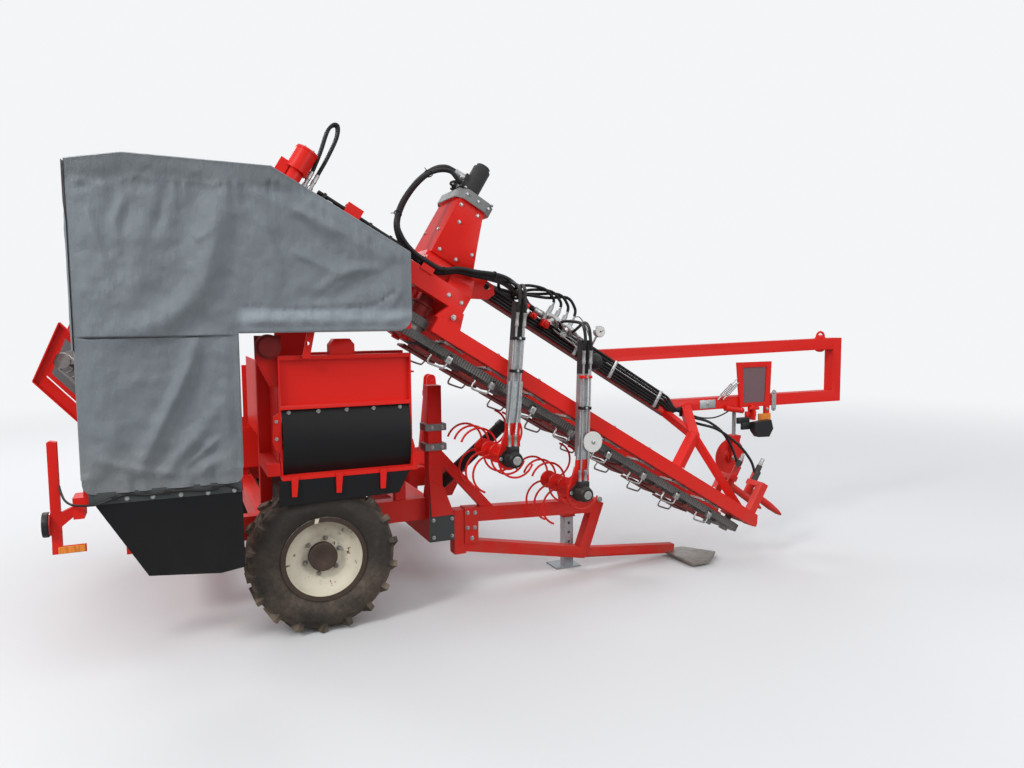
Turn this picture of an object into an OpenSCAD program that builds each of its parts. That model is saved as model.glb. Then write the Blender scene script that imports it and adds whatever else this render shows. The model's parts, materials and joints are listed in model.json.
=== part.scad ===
// Top-lifting root crop harvester, semi-mounted, one row.
// X points forward, Y to the left, Z up. Heights are drawn for an axle 380 above the ground and
// lengths from that axle. Everything is shifted at the end: the origin lies on the ground under the
// middle of the machine.

/* [Wheels] */
// Outside diameter of the tyre over its lugs
tyre_d = 760; // [700:10:800]
// Section width of the tyre
tyre_w = 264; // [230:4:280]
// Height of the tread lugs
lug_h = 18; // [12:1:22]
// Tread lugs on each side of a tyre
lugs = 18; // [14:1:22]
// Diameter over the rim flanges
rim_d = 427; // [400:1:450]
// Distance between the middles of the wheels
track = 2200; // [2100:10:2300]

/* [Chassis] */
// Rear face of the front crossbeam, ahead of the axle
crossbeam_x = 640; // [620:5:660]
// Side of the square front crossbeam
crossbeam = 150; // [130:5:170]
// Height of the lower face of the front crossbeam
crossbeam_z = 305; // [290:5:320]
// Height of a long rail
rail_h = 125; // [110:5:140]
// Side of the square axle beam
axle_beam = 90; // [80:5:100]
// Radius of the axle stubs
stub_r = 30; // [25:1:35]
// Side of the square parking legs
leg = 60; // [50:2:70]
// Wall of the sheet parts
plate = 8; // [6:1:10]

/* [Hitch] */
// Sideways place of the headstock
hitch_y = 450; // [440:5:460]
// Distance over the lower link plates
hitch_w = 825; // [760:5:840]
// Radius of the lower link pins
link_pin_r = 14; // [11:0.5:18]
// Radius of the top link bore
top_link_r = 12.9; // [10:0.1:16]
// Height of the top link bore above the lower link pins
mast_h = 610; // [560:10:650]

/* [Lifting element] */
// Slope of the lifting belts
slope = 31; // [30:0.5:32]
// Height of the belt plane above the axle's place
belt_z = 1788; // [1780:1:1796]
// Place of the lower pulleys along the slope
belt_tip = 3000; // [2960:5:3010]
// Height of a lifting belt's face
belt_h = 60; // [50:2:64]
// Thickness of a belt
belt_t = 16; // [12:1:18]
// Radius of the belt pulleys
pulley_r = 64; // [58:1:66]
// Side of the square lower beams
beam = 80; // [72:2:84]
// Belt rollers on each side
rollers = 8; // [6:1:8]
// Spacing of the belt rollers
roller_pitch = 282; // [274:2:288]
// Radius that a shaker rod sweeps
shaker_r = 230; // [200:5:240]

/* [Hidden] */
RED = "#d3251c";
DARK = "#2b2d2f";
STEEL = "#a9adb0";
GREY = "#7f878c";
CREAM = "#cfc9b8";
$fn = 48;

fit = 0.3; // running clearance round pins and stubs
eye_play = 1; // play of the rod eye on its pin
axle_z = 380; // drawn height of the axle
rise = tyre_d / 2 - axle_z; // how much the wheels carry the machine higher than drawn
hub_y = track / 2;
tyre_side = hub_y + tyre_w / 2;
tyre_top = axle_z + tyre_d / 2;
row_y = 50 - hub_y; // crop row, a little inside the right-hand wheel's middle
trough_y1 = hub_y - tyre_w / 2 - 68; // outer face of the elevator's trough
trough_y0 = trough_y1 - 600;

axle_top = axle_z + axle_beam / 2;
rail_y = hub_y - 280;
rail_w = 80;
rail_x = -900;
rail_top = axle_top + rail_h;
crossbeam_front = crossbeam_x + crossbeam;
crossbeam_top = crossbeam_z + crossbeam;
crossbeam_right = row_y + 120;
crossbeam_left = hub_y - 200;

// Overall extents, from the guard's front post, the elevator's end, the shakers' motors and the
// left tyre
x_front = 3850;
x_rear = -1418;
y_right = row_y - 400;
shift = [-(x_front + x_rear) / 2, -(tyre_side + y_right) / 2, rise];

module placed() {
  translate(shift) children();
}

// Bar of w by h from point p to point q
module bar(p, q, w, h) {
  d = q - p;
  flat = sqrt(d.x * d.x + d.y * d.y);
  translate(p) rotate([0, -atan2(d.z, flat), atan2(d.y, d.x)])
    translate([0, -w / 2, -h / 2]) cube([norm(d), w, h]);
}

// Round rod of radius r from point p to point q
module rod(p, q, r) {
  d = q - p;
  flat = sqrt(d.x * d.x + d.y * d.y);
  translate(p) rotate([0, 90 - atan2(d.z, flat), atan2(d.y, d.x)]) cylinder(h = norm(d), r = r);
}

// Box given by its lowest and highest corners
module box(a, b) {
  translate(a) cube(b - a);
}

// Cylinder along Y from y0 to y1
module across(x, z, y0, y1, r) {
  translate([x, y0, z]) rotate([-90, 0, 0]) cylinder(h = y1 - y0, r = r);
}

// Cylinder along Z from z0 to z1
module upright(x, y, z0, z1, r) {
  translate([x, y, z0]) cylinder(h = z1 - z0, r = r);
}

// Solid from y0 to y1 of a flat shape drawn in X and Z
module in_plane(y0, y1) {
  translate([0, y1, 0]) rotate([90, 0, 0]) linear_extrude(height = y1 - y0) children();
}

// Plate from y0 to y1 with an outline of [x, z] points
module side_plate(outline, y0, y1) {
  in_plane(y0, y1) polygon(outline);
}

// Flat bar of width w from [x, z] point p to point q
module flat_bar(p, q, w) {
  d = q - p;
  translate(p) rotate(atan2(d.y, d.x)) translate([0, -w / 2]) square([norm(d), w]);
}

// Both a shape and its mirror image about the row
module both_sides() {
  children();
  mirror([0, 1, 0]) children();
}

// Place in X and Z of a point at s along the belts and n above them
function on_slope(s, n) =
  [s * cos(slope) + n * sin(slope), belt_z - s * sin(slope) + n * cos(slope)];

// The same for a point with a sideways place y from the row
function on_row(s, y, n) =
  let(p = on_slope(s, n)) [p.x, row_y + y, p.y];

// Closed band of thickness t round two pulleys of radius r
module band(a, b, r, t, h) {
  linear_extrude(height = h) difference() {
    union() {
      translate([a, 0]) circle(r = r + t, $fn = 64);
      translate([b, 0]) circle(r = r + t, $fn = 64);
      translate([a, -r - t]) square([b - a, 2 * (r + t)]);
    }
    translate([a, 0]) circle(r = r, $fn = 64);
    translate([b, 0]) circle(r = r, $fn = 64);
    translate([a, -r]) square([b - a, 2 * r]);
  }
}

// Smooth curve through the points of a hose's route, with n steps between two of them
function curve(p, n) = [
  for (i = [0 : len(p) - 2], k = [0 : n - 1])
    let(t = k / n, a = p[max(i - 1, 0)], b = p[i], c = p[i + 1], d = p[min(i + 2, len(p) - 1)])
      0.5 * (2 * b + (c - a) * t + (2 * a - 5 * b + 4 * c - d) * t * t
        + (3 * b - a - 3 * c + d) * t * t * t),
  p[len(p) - 1]
];

// Hose of radius r along its route: rings of eight points joined by flat faces
module hose(route, r, n) {
  m = 8;
  p = curve(route, n);
  last = len(p) - 1;
  function run(i) = let(d = p[min(i + 1, last)] - p[max(i - 1, 0)]) d / norm(d);
  function side(i) = let(c = cross(run(i), [0, 1, 0])) c / norm(c);
  points = [
    for (i = [0 : last], k = [0 : m - 1])
      p[i] + r * (side(i) * cos(360 * k / m) + cross(side(i), run(i)) * sin(360 * k / m))
  ];
  walls = [
    for (i = [0 : last - 1], k = [0 : m - 1])
      [i * m + k, (i + 1) * m + k, (i + 1) * m + (k + 1) % m, i * m + (k + 1) % m]
  ];
  ends = [[for (k = [0 : m - 1]) k], [for (k = [m - 1 : -1 : 0]) last * m + k]];
  polyhedron(points, concat(ends, walls));
}

// CHASSIS

post = 60; // side of the upright posts
web_x0 = -190; // rear inner face of the cross web's housing
web_x1 = 460; // front inner face of the cross web's housing
near_y = -tyre_side - 18; // outer face of the right-hand frame
arch_z = tyre_top + 60; // lower face of the beams over the right-hand wheel
near_rail_z = 1540; // lower face of the rail behind the curtain
near_rail_x = 380; // front end of that rail
near_post_x = -470; // rear face of the post under that rail
inner_beam_z = 1340; // lower face of the beam under the pivot's inner bearing
post_x = [web_x0 - plate - post, web_x1 + plate];
lift_post = 80;
lift_x = 682;
lift_post_top = 1200;

// The element turns about a shaft through its upper beams
upper_n0 = 215;
upper_n1 = 315;
upper_y = 190; // outer face of an upper beam from the row
pivot_s = -250;
pivot_n = (upper_n0 + upper_n1) / 2;
pivot_x = on_slope(pivot_s, pivot_n).x;
pivot_z = on_slope(pivot_s, pivot_n).y;
pivot_r = 30;
bearing = 25;
bearing_gap = 10;

// Lift cylinder between the crossbeam and the far lower beam
lift_y = row_y + 265;
lift_pin_r = 15;
lift_base = [700, 560];
lift_s = 1500;
lift_n = 35;
lift_eye = on_slope(lift_s, lift_n);

module pivot_bearing(y, foot_z) {
  difference() {
    in_plane(y, y + bearing) union() {
      polygon([[pivot_x - 90, foot_z], [pivot_x + 90, foot_z], [pivot_x + 52, pivot_z], [pivot_x - 52, pivot_z]]);
      translate([pivot_x, pivot_z]) circle(r = 60);
    }
    across(pivot_x, pivot_z, y - 1, y + bearing + 1, pivot_r + fit);
  }
}

module lift_post_column() {
  y0 = crossbeam_right;
  x0 = lift_x - lift_post / 2;
  x1 = lift_x + lift_post / 2;
  box([x0, y0, crossbeam_top - 1], [x1, y0 + lift_post, lift_post_top]);
  // collars and the flared foot
  for (z = [834, 946])
    box([x0 - 20, y0 - 12, z], [x1 + 24, y0 + lift_post + 12, z + 38]);
  for (y = [y0 - plate, y0 + lift_post])
    side_plate([[x0, 663], [x1 + 6, 620], [x1 + 66, crossbeam_top - 1], [x0 + 10, crossbeam_top - 1]], y, y + plate);
}

// Carrier plates and pin on which the headstock turns
module king_carrier() {
  for (z = king_plates)
    translate([0, 0, z]) linear_extrude(height = king_plate) union() {
      polygon([[crossbeam_front - 1, hitch_y - 110], [king_x, hitch_y - 60], [king_x, hitch_y + 60], [crossbeam_front - 1, hitch_y + 110]]);
      translate([king_x, hitch_y]) circle(r = 60);
    }
  upright(king_x, hitch_y, king_plates[0], king_plates[1] + king_plate, king_r);
}

module chassis_frame() {
  color(RED) placed() union() {
    for (side = [-1, 1])
      box([rail_x, side * rail_y - rail_w / 2, axle_top], [crossbeam_x + 1, side * rail_y + rail_w / 2, rail_top]);
    box([crossbeam_x, crossbeam_right, crossbeam_z], [crossbeam_front, crossbeam_left, crossbeam_top]);
    for (x = [rail_x, post_x[0] - 20, post_x[1]])
      box([x, -rail_y, axle_top], [x + rail_w, rail_y, rail_top]);
    for (x = post_x) {
      box([x, -rail_y - post / 2, rail_top - 1], [x + post, -rail_y + post / 2, inner_beam_z + 1]);
      box([x, panel_y, arch_z], [x + post, -rail_y, arch_z + post]);
    }
    box([post_x[0], -rail_y - post / 2, inner_beam_z], [post_x[1] + post, -rail_y + post / 2, inner_beam_z + post]);
    // near post and rail behind the curtain
    box([near_post_x, near_y, rail_top - post], [near_post_x + post, -rail_y, rail_top]);
    box([near_post_x, near_y, rail_top - 1], [near_post_x + post, near_y + post, near_rail_z + 1]);
    box([near_post_x, near_y, near_rail_z], [near_rail_x, near_y + post, near_rail_z + post]);
    pivot_bearing(row_y - upper_y - bearing_gap - bearing, near_rail_z);
    pivot_bearing(row_y + upper_y + bearing_gap, inner_beam_z);
    lift_post_column();
    // lugs of the lift cylinder
    for (y = [lift_y - 40, lift_y + 27])
      side_plate([[lift_base[0] - 45, crossbeam_top - 1], [lift_base[0] + 45, crossbeam_top - 1], [lift_base[0] + 30, lift_base[1] + 35], [lift_base[0] - 30, lift_base[1] + 35]], y, y + 13);
    across(lift_base[0], lift_base[1], lift_y - 40, lift_y + 40, lift_pin_r);
    king_carrier();
  }
}

hub_in = hub_y - 195;
stub_end = hub_y + 65;

module axle() {
  color(DARK) placed() union() {
    box([-axle_beam / 2, -hub_in, axle_z - axle_beam / 2], [axle_beam / 2, hub_in, axle_top]);
    across(0, axle_z, -stub_end, stub_end, stub_r);
    // collars at the ends of the beam
    for (y = [-hub_in, hub_in - 15])
      across(0, axle_z, y, y + 15, axle_beam * 0.8);
  }
}

king_x = crossbeam_front + 140;
king_r = 25;
king_plate = 25;
king_plates = [crossbeam_z + 5, crossbeam_top + 20];
link_x = king_x + 250;
link_z = 520;
link_plate = 25;
mast_x = king_x + 170;

module link_cheek(side) {
  y = hitch_y + side * (hitch_w / 2 - link_plate / 2);
  z0 = king_plates[0] + 20;
  in_plane(y - link_plate / 2, y + link_plate / 2) union() {
    polygon([[king_x + 110, z0], [king_x + 190, z0], [link_x + 24, link_z - 32], [link_x, link_z + 40], [king_x + 110, link_z + 20]]);
    translate([link_x, link_z]) circle(r = 40);
  }
  across(link_x, link_z, side < 0 ? y - 100 : y, side < 0 ? y : y + 100, link_pin_r);
}

module headstock() {
  top_z = link_z + mast_h;
  z0 = king_plates[0];
  color(RED) placed() difference() {
    union() {
      // sleeve round the kingpin, and the cross bar
      upright(king_x, hitch_y, z0 + king_plate + 1, king_plates[1] - 1, 50);
      box([king_x, hitch_y - 45, z0 + king_plate + 1], [king_x + 111, hitch_y + 45, king_plates[1] - 1]);
      box([king_x + 110, hitch_y - hitch_w / 2 + 1, z0 + 20], [king_x + 190, hitch_y + hitch_w / 2 - 1, z0 + 120]);
      for (side = [-1, 1]) {
        link_cheek(side);
        bar([mast_x - 20, hitch_y + side * 200, z0 + 100], [mast_x, hitch_y + side * 45, top_z - 90], 50, 50);
        in_plane(hitch_y + side * 34 - 9, hitch_y + side * 34 + 9) union() {
          polygon([[mast_x - 45, top_z - 130], [mast_x + 45, top_z - 130], [mast_x + 34, top_z], [mast_x - 34, top_z]]);
          translate([mast_x, top_z]) circle(r = 34);
        }
      }
      box([mast_x - 45, hitch_y - 43, top_z - 130], [mast_x + 45, hitch_y + 43, top_z - 90]);
    }
    across(mast_x, top_z, hitch_y - 60, hitch_y + 60, top_link_r);
    upright(king_x, hitch_y, 0, 2000, king_r + fit);
  }
}

share_y = 70;
share_c = crossbeam_right + 5 + share_y / 2;
share_front = 2560;
share_t = 16; // thickness of the share blade
share_z = 18 - rise; // lower face of the share blade

module share_frame() {
  c = share_c;
  root = crossbeam_front + 70;
  post_front = lift_x + lift_post / 2;
  color(RED) placed() union() {
    box([crossbeam_front, crossbeam_right, 215], [root, crossbeam_right + 80, crossbeam_top + 20]);
    box([root - 10, c - share_y / 2 - 12, 272], [root + 75, c - share_y / 2, 482]);
    in_plane(c - share_y / 2, c + share_y / 2) {
      flat_bar([root - 10, 440], [1750, 400], 85);
      flat_bar([root - 10, 262], [1655, 110], share_y);
      flat_bar([1630, 90], [1752, 425], share_y);
    }
    in_plane(c - 25, c + 25) {
      flat_bar([1640, 110], [2330, share_z + 28], 60);
      polygon([[post_front, 830], [post_front, 745], [root + 130, 440], [root + 195, 455]]);
    }
    // share blade under the row
    translate([0, 0, share_z]) linear_extrude(height = share_t)
      polygon([[2270, c - 25], [2270, row_y - 140], [2400, row_y - 140], [share_front, row_y], [2430, c + 25], [2270, c + 25]]);
  }
}

sleeve = 10;
slack = 0.5;
leg_left_x = crossbeam_front + sleeve + leg / 2;
leg_left_y = hub_y - 360;
leg_right_x = 1580;
leg_right_y = share_c + share_y / 2 + sleeve + leg / 2;

module leg_sleeve(x, y, z0, z1) {
  difference() {
    box([x - leg / 2 - sleeve, y - leg / 2 - sleeve, z0], [x + leg / 2 + sleeve, y + leg / 2 + sleeve, z1]);
    box([x - leg / 2 - slack, y - leg / 2 - slack, z0 - 1], [x + leg / 2 + slack, y + leg / 2 + slack, z1 + 1]);
  }
}

module leg_sleeves() {
  color(RED) placed() union() {
    leg_sleeve(leg_left_x, leg_left_y, crossbeam_z + 10, crossbeam_top - 10);
    leg_sleeve(leg_right_x, leg_right_y, 330, 480);
  }
}

foot_t = 8;
pin_pitch = 60; // spacing of the holes in a leg

module parking_leg(x, y, top) {
  ground = -rise;
  color(STEEL) placed() difference() {
    union() {
      box([x - leg / 2, y - leg / 2, ground + foot_t - 1], [x + leg / 2, y + leg / 2, top]);
      box([x - 85, y - leg / 2, ground], [x + 85, y + 120, ground + foot_t]);
    }
    for (z = [top - 30 : -pin_pitch : 120])
      across(x, z, y - leg, y + leg, 9);
  }
}

module leg_right() { parking_leg(leg_right_x, leg_right_y, 560); }
module leg_left() { parking_leg(leg_left_x, leg_left_y, 640); }

// WHEELS

rim_h = 102; // half width of the rim between the tyre's beads
bead_r = rim_d / 2 - 18;
lug_w = 30;
lug_turn = 28; // slant of the lugs

module tyre(side) {
  r = tyre_d / 2 - lug_h;
  w = tyre_w / 2;
  b = bead_r;
  h = rim_h;
  color(DARK) placed() translate([0, side * hub_y, axle_z]) rotate([-90, 0, 0]) union() {
    rotate_extrude($fn = 96)
      polygon([[b, -h], [b + 20, -h - 8], [b + 60, -w], [r - 60, -w], [r - 18, -w + 22], [r, -w + 50],
        [r, w - 50], [r - 18, w - 22], [r - 60, w], [b + 60, w], [b + 20, h + 8], [b, h]]);
    for (half = [-1, 1], i = [0 : lugs - 1])
      rotate([0, 0, 360 / lugs * i + 5 * half]) translate([r - 30, 0, half * (w / 2 + 1)])
        rotate([half * lug_turn, 0, 0]) translate([0, -lug_w / 2, 10 - w / 2])
          cube([30 + lug_h - 3, lug_w, w - 20]);
  }
}

hub_r = 62;

module rim(side) {
  b = bead_r;
  h = rim_h;
  f = rim_d / 2;
  color(CREAM) placed() translate([0, side * hub_y, axle_z]) rotate([-90, 0, 0]) difference() {
    union() {
      rotate_extrude($fn = 96)
        polygon([[b - 6, -h - 16], [f, -h - 16], [f, -h - 10], [b + 8, -h - 6], [b, -h - 0.2],
          [b, h + 0.2], [b + 8, h + 6], [f, h + 10], [f, h + 16], [b - 6, h + 16]]);
      // dished disc
      mirror([0, 0, side < 0 ? 1 : 0]) rotate_extrude($fn = 96)
        polygon([[hub_r - 4, 40], [95, 40], [135, 62], [b - 4, 66], [b - 4, 56], [139, 52], [99, 30], [hub_r - 4, 30]]);
      translate([0, 0, side < 0 ? -80 : -75]) cylinder(h = 155, r = hub_r);
    }
    translate([0, 0, -90]) cylinder(h = 180, r = stub_r + fit);
  }
}

module tyre_right() { tyre(-1); }
module tyre_left() { tyre(1); }
module rim_right() { rim(-1); }
module rim_left() { rim(1); }

// CROSS WEB AND ITS HOUSING

housing_y = near_y + 80;
housing_end = trough_y0 + 130;
housing_top = 1335;
panel_y = near_y + 35; // outer face of the side panel's rails
panel_z = tyre_top + 40; // lower edge of the side panel
panel_top = 1400;
panel_mid = 1150; // top of the rubber
rim_bar = 20; // height of the panel's edge rails

module web_housing() {
  drive_x = -235;
  drive_z = 1446;
  color(RED) placed() union() {
    for (x = [web_x0 - plate, web_x1])
      box([x, housing_y, 880], [x + plate, housing_end, housing_top]);
    for (y = [-rail_y - 80, trough_y0 - 60])
      box([web_x0 - 1, y, 900], [web_x1 + 1, y + 40, 940]);
    // side gutters and bracket of the drive over the rear wall
    for (x = [web_x0 - 40, web_x1 + plate - 1])
      box([x, housing_y + 20, housing_top - 40], [x + 33, -rail_y - post / 2, housing_top - 32]);
    side_plate([[web_x0 - plate, 1250], [web_x0, housing_top], [web_x0 + 20, 1500], [drive_x - 60, 1500], [drive_x - 60, 1390], [web_x0 - 40, 1250]], housing_y, housing_y + plate);
    across(drive_x, drive_z, housing_y - 40, housing_y + 1, 60);
    across(drive_x, drive_z, housing_y - 58, housing_y - 39, 46);
  }
}

module side_panel() {
  x0 = web_x0 - 5;
  x1 = web_x1 + 5;
  color(RED) placed() union() {
    box([x0, housing_y - 20, panel_mid - 5], [x1, housing_y - 12, panel_top]);
    for (x = [x0, x1 - plate])
      box([x, panel_y, panel_z], [x + plate, housing_y, panel_top]);
    for (z = [panel_z, panel_mid - 10, panel_top - rim_bar])
      box([x0, panel_y, z], [x1, housing_y, z + rim_bar]);
    box([x0, near_y, panel_z], [x1, panel_y + 1, panel_z + rim_bar]);
    // hooks under the lower rail
    for (x = [-140, 74, 296])
      side_plate([[x - 14, panel_z + rim_bar], [x + 20, panel_z + rim_bar], [x + 10, panel_z - 80], [x - 14, panel_z - 80]], near_y - 12, near_y);
    // flared foot at the front corner and flange at the rear edge
    side_plate([[x1 - plate, 960], [x1 + 1, 930], [x1 + 16, panel_z + 8], [x1 + 16, panel_z], [x1 - plate, panel_z]], near_y, near_y + plate);
    side_plate([[x0 + 1, 1130], [x0 - 28, 1110], [x0 - 36, 990], [x0 - 24, 950], [x0 + 1, 930]], panel_y, panel_y + plate);
    // strap up to the near rail, and a bearing block behind the top rail
    difference() {
      in_plane(near_y + 2, near_y + 12) polygon([[-82, panel_top - 1], [-46, panel_top - 1], [-16, near_rail_z], [-52, near_rail_z]]);
      across(-56, 1460, near_y, near_y + 20, 9);
    }
    box([-82, near_y + 2, panel_top - 12], [-46, panel_y + 1, panel_top]);
    side_plate([[60, panel_top - 1], [182, panel_top - 1], [182, 1450], [160, 1478], [82, 1478], [60, 1450]], housing_y - 20, housing_y + 60);
  }
}

module panel_rubber() {
  t = 8;
  n = 12;
  swing = 28; // half the angle of the bulge
  low = panel_z + rim_bar;
  high = panel_mid - 10;
  r = (high - low) / 2 / sin(swing);
  back = housing_y - 25 + r * cos(swing);
  function arc(q, i) = let(a = -swing + 2 * swing * i / n) [-q * cos(a), q * sin(a)];
  color(DARK) placed() union() {
    translate([web_x0 + 6, back, (low + high) / 2]) rotate([90, 0, 90])
      linear_extrude(height = web_x1 - web_x0 - 12)
        polygon([for (i = [0 : n]) arc(r, i), for (i = [n : -1 : 0]) arc(r - t, i)]);
    // flap under the panel
    side_plate([[-212, panel_z], [web_x1 - 20, panel_z], [web_x1 - 80, panel_z - 112], [-212, panel_z - 124]], near_y + 2, near_y + 2 + t);
  }
}

web_r = 50;
web_t = 12;
web_rod = 5;
web_pitch = 41;
web_z = 1020;
web_y0 = row_y - 40;
web_y1 = trough_y0 + 60;

// Rods of a web between two points of its path, off to one side by the web's half height
module web_rods(p, q, off) {
  d = (q - p) / norm(q - p);
  side = off * [-d.y, d.x];
  for (k = [0 : floor(norm(q - p) / web_pitch)])
    translate(p + d * k * web_pitch + side) circle(r = web_rod, $fn = 24);
}

module cross_web() {
  w = web_x1 - web_x0 - 30;
  strip = 60;
  color(STEEL) placed() translate([web_x0 + 15, 0, web_z]) rotate([90, 0, 90]) union() {
    for (x = [0, (w - strip) / 2, w - strip])
      translate([0, 0, x]) band(web_y0, web_y1, web_r, web_t, strip);
    linear_extrude(height = w) for (side = [-1, 1])
      web_rods([web_y0, 0], [web_y1, 0], side * (web_r + web_t / 2));
    for (y = [web_y0, web_y1])
      translate([y, 0, 0]) cylinder(h = w, r = web_r);
  }
}

// REAR ELEVATOR

trough = [[500, 600], [-869, 600], [x_rear, 1223], [-1258, 1574], [-637, 870], [500, 870]];
mouth = [[-1180, 1060], [-1345, 1248], [-1240, 1480], [-1010, 1218]];

module elevator_trough() {
  flange = 35;
  color(RED) placed() union() {
    // far wall, and near wall with its window at the mouth
    side_plate(trough, trough_y1 - plate, trough_y1);
    in_plane(trough_y0, trough_y0 + plate) difference() {
      polygon(trough);
      polygon(mouth);
    }
    // flanges along the slanted edges
    for (y = [trough_y0 - flange + plate, trough_y1 - plate])
      in_plane(y, y + flange) union() {
        flat_bar([-869, 604], [x_rear + 4, 1223], plate);
        flat_bar([x_rear + 4, 1223], [-1261, 1570], plate);
        flat_bar([-1261, 1570], [-640, 872], plate);
      }
    box([web_x0, trough_y1 - plate, 869], [web_x1, trough_y1, 1250]);
    for (x = [-560, post_x[0] - 20, 420])
      box([x, trough_y0, 600], [x + post, trough_y1, 630]);
    for (x = [-560, 420])
      box([x, trough_y1 - 80, rail_top], [x + post, rail_y + 30, 601]);
    box([post_x[0] - 20, trough_y0 + 20, rail_top], [post_x[0] + 40, trough_y0 + 80, 601]);
  }
}

module elevator_lining() {
  t = 4;
  color(GREY) placed()
    side_plate([[-637, 860], [-869, 640], [x_rear + 30, 1233], [-1262, 1555]], trough_y1 - plate - t, trough_y1 - plate);
}

module elevator_web() {
  w = trough_y1 - trough_y0 - 2 * plate - 40;
  m = (trough_y0 + trough_y1) / 2;
  stops = [[430, 735], [-730, 735], [-1265, 1340]];
  half = 45;
  t = 10;
  strip = 60;
  flights = 5;
  climb = atan2(stops[2].y - stops[1].y, stops[2].x - stops[1].x) - 90;
  side = half * [cos(climb), sin(climb)];
  color(STEEL) placed() union() {
    for (y = [m - w / 2, m + w / 2 - strip])
      in_plane(y, y + strip) {
        for (p = stops)
          translate(p) circle(r = half + t / 2 - 3);
        for (q = [-1, 1]) {
          flat_bar(stops[1] + [0, half * q], stops[0] + [0, half * q], t);
          flat_bar(stops[1] + q * side, stops[2] + q * side, t);
        }
      }
    in_plane(m - w / 2, m + w / 2) {
      for (q = [-1, 1]) {
        web_rods(stops[0], stops[1], q * half);
        web_rods(stops[1], stops[2], q * half);
      }
      // flights that carry the crop up the slope
      for (k = [1 : flights]) {
        foot = stops[1] + (stops[2] - stops[1]) * k / (flights + 1) + side;
        flat_bar(foot, foot + side, 6);
      }
    }
  }
}

// CURTAIN

curtain_y = near_y - 82; // outer face of the curtain
frame_y0 = curtain_y + 12;
frame_y1 = frame_y0 + 30;
rear_x = -1030;
curtain_outline = [
  [rear_x, 840], [-380, 832], [-378, 1520], [390, 1520], [440, 1570], [440, 1900], [-210, 2270],
  [-820, 2285], [rear_x, 2245]
];

module side_curtain() {
  color(GREY) placed() side_plate(curtain_outline, curtain_y, frame_y0);
}

module curtain_frame() {
  inner_y = -rail_y - 30;
  color(RED) placed() union() {
    in_plane(frame_y0, frame_y1) {
      flat_bar([rear_x + 16, 800], [rear_x + 16, 2230], 30);
      flat_bar([rear_x + 8, 2225], [-200, 2250], 30);
      flat_bar([-205, 2245], [425, 1885], 30);
      flat_bar([425, 1895], [425, 1530], 30);
      flat_bar([438, 1540], [-400, 1540], 30);
      flat_bar([-395, 1550], [-395, 800], 30);
      flat_bar([rear_x + 1, 815], [-380, 815], 50);
    }
    // stand on the long rail
    box([-860, frame_y0 + 1, 795], [-800, inner_y + 60, 835]);
    box([-860, inner_y, rail_top], [-800, inner_y + 60, 796]);
    box([-860, inner_y, 834], [-820, inner_y + 40, 2245]);
    for (z = [2215, 1450])
      box([-860, frame_y0 + 1, z], [-820, inner_y + 40, z + 30]);
    for (z = [2205, 1450])
      box([rear_x, inner_y, z], [-820, inner_y + 40, z + 30]);
    // stubs to the near rail
    for (x = [-440, 60, 330])
      box([x, frame_y1 - 1, 1545], [x + 30, near_y, 1575]);
  }
}

module rear_flap() {
  color(GREY) placed() box([rear_x - 8, frame_y0, 1450], [rear_x, -rail_y + 10, 2240]);
}

module rubber_skirt() {
  color(DARK) placed()
    side_plate([[-1010, 825], [-385, 825], [-385, 430], [-490, 415], [-790, 445]], frame_y0 - 10, frame_y0);
}

lamp_x = -1167;
lamp_post = 38;
lamp_y = near_y + 20; // near face of the right-hand lamp post

// Post with a folded top, an arm to the frame and a foot for its reflector
module lamp_bracket(y, arm_to, z0, z1) {
  box([lamp_x, y, z0], [lamp_x + lamp_post, y + lamp_post, z1]);
  side_plate([[lamp_x, z1 - 1], [lamp_x + lamp_post, z1 - 1], [lamp_x + lamp_post, z1 + 10], [lamp_x + 12, z1 + 16], [lamp_x, z1 + 10]], y, y + lamp_post);
  box([lamp_x, y - 6, z0 - 5], [lamp_x + 132, y, z0 + 30]);
  side_plate([[lamp_x + lamp_post - 1, 680], [lamp_x + lamp_post - 1, 744], [arm_to, 772], [arm_to, 730]], y, y + 30);
}

module lamp_brackets() {
  tail = rail_x + 1;
  color(RED) placed() union() {
    lamp_bracket(lamp_y, rear_x - 40, 570, 1045);
    box([rear_x - 41, frame_y0, 730], [rear_x + 1, lamp_y + 30, 822]);
    lamp_bracket(rail_y, rear_x, 520, 860);
    box([rear_x - 1, rail_y - 10, rail_top - 45], [rear_x + 29, rail_y + 30, 772]);
    box([rear_x - 1, rail_y - 10, rail_top - 45], [rail_x, rail_y + 30, rail_top - 5]);
  }
}

module rear_lamps() {
  color("#b3302a") placed() for (p = [[lamp_y + lamp_post / 2, 570], [rail_y + lamp_post / 2, 520]]) {
    translate([lamp_x - 32, p[0], p[1] + 125]) rotate([0, 90, 0]) cylinder(h = 32, r = 50);
    side = p[0] < 0 ? -lamp_post / 2 - 6 : lamp_post / 2;
    box([lamp_x + 24, p[0] + side - (p[0] < 0 ? 9 : 0), p[1] - 3], [lamp_x + 128, p[0] + side + (p[0] < 0 ? 0 : 9), p[1] + 28]);
  }
}

// LIFTING ELEMENT
// Drawn along the slope: X runs down the belts, Y from the row, Z square to the belt plane.

module on_element() {
  translate([0, row_y, belt_z]) rotate([0, slope, 0]) children();
}

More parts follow.
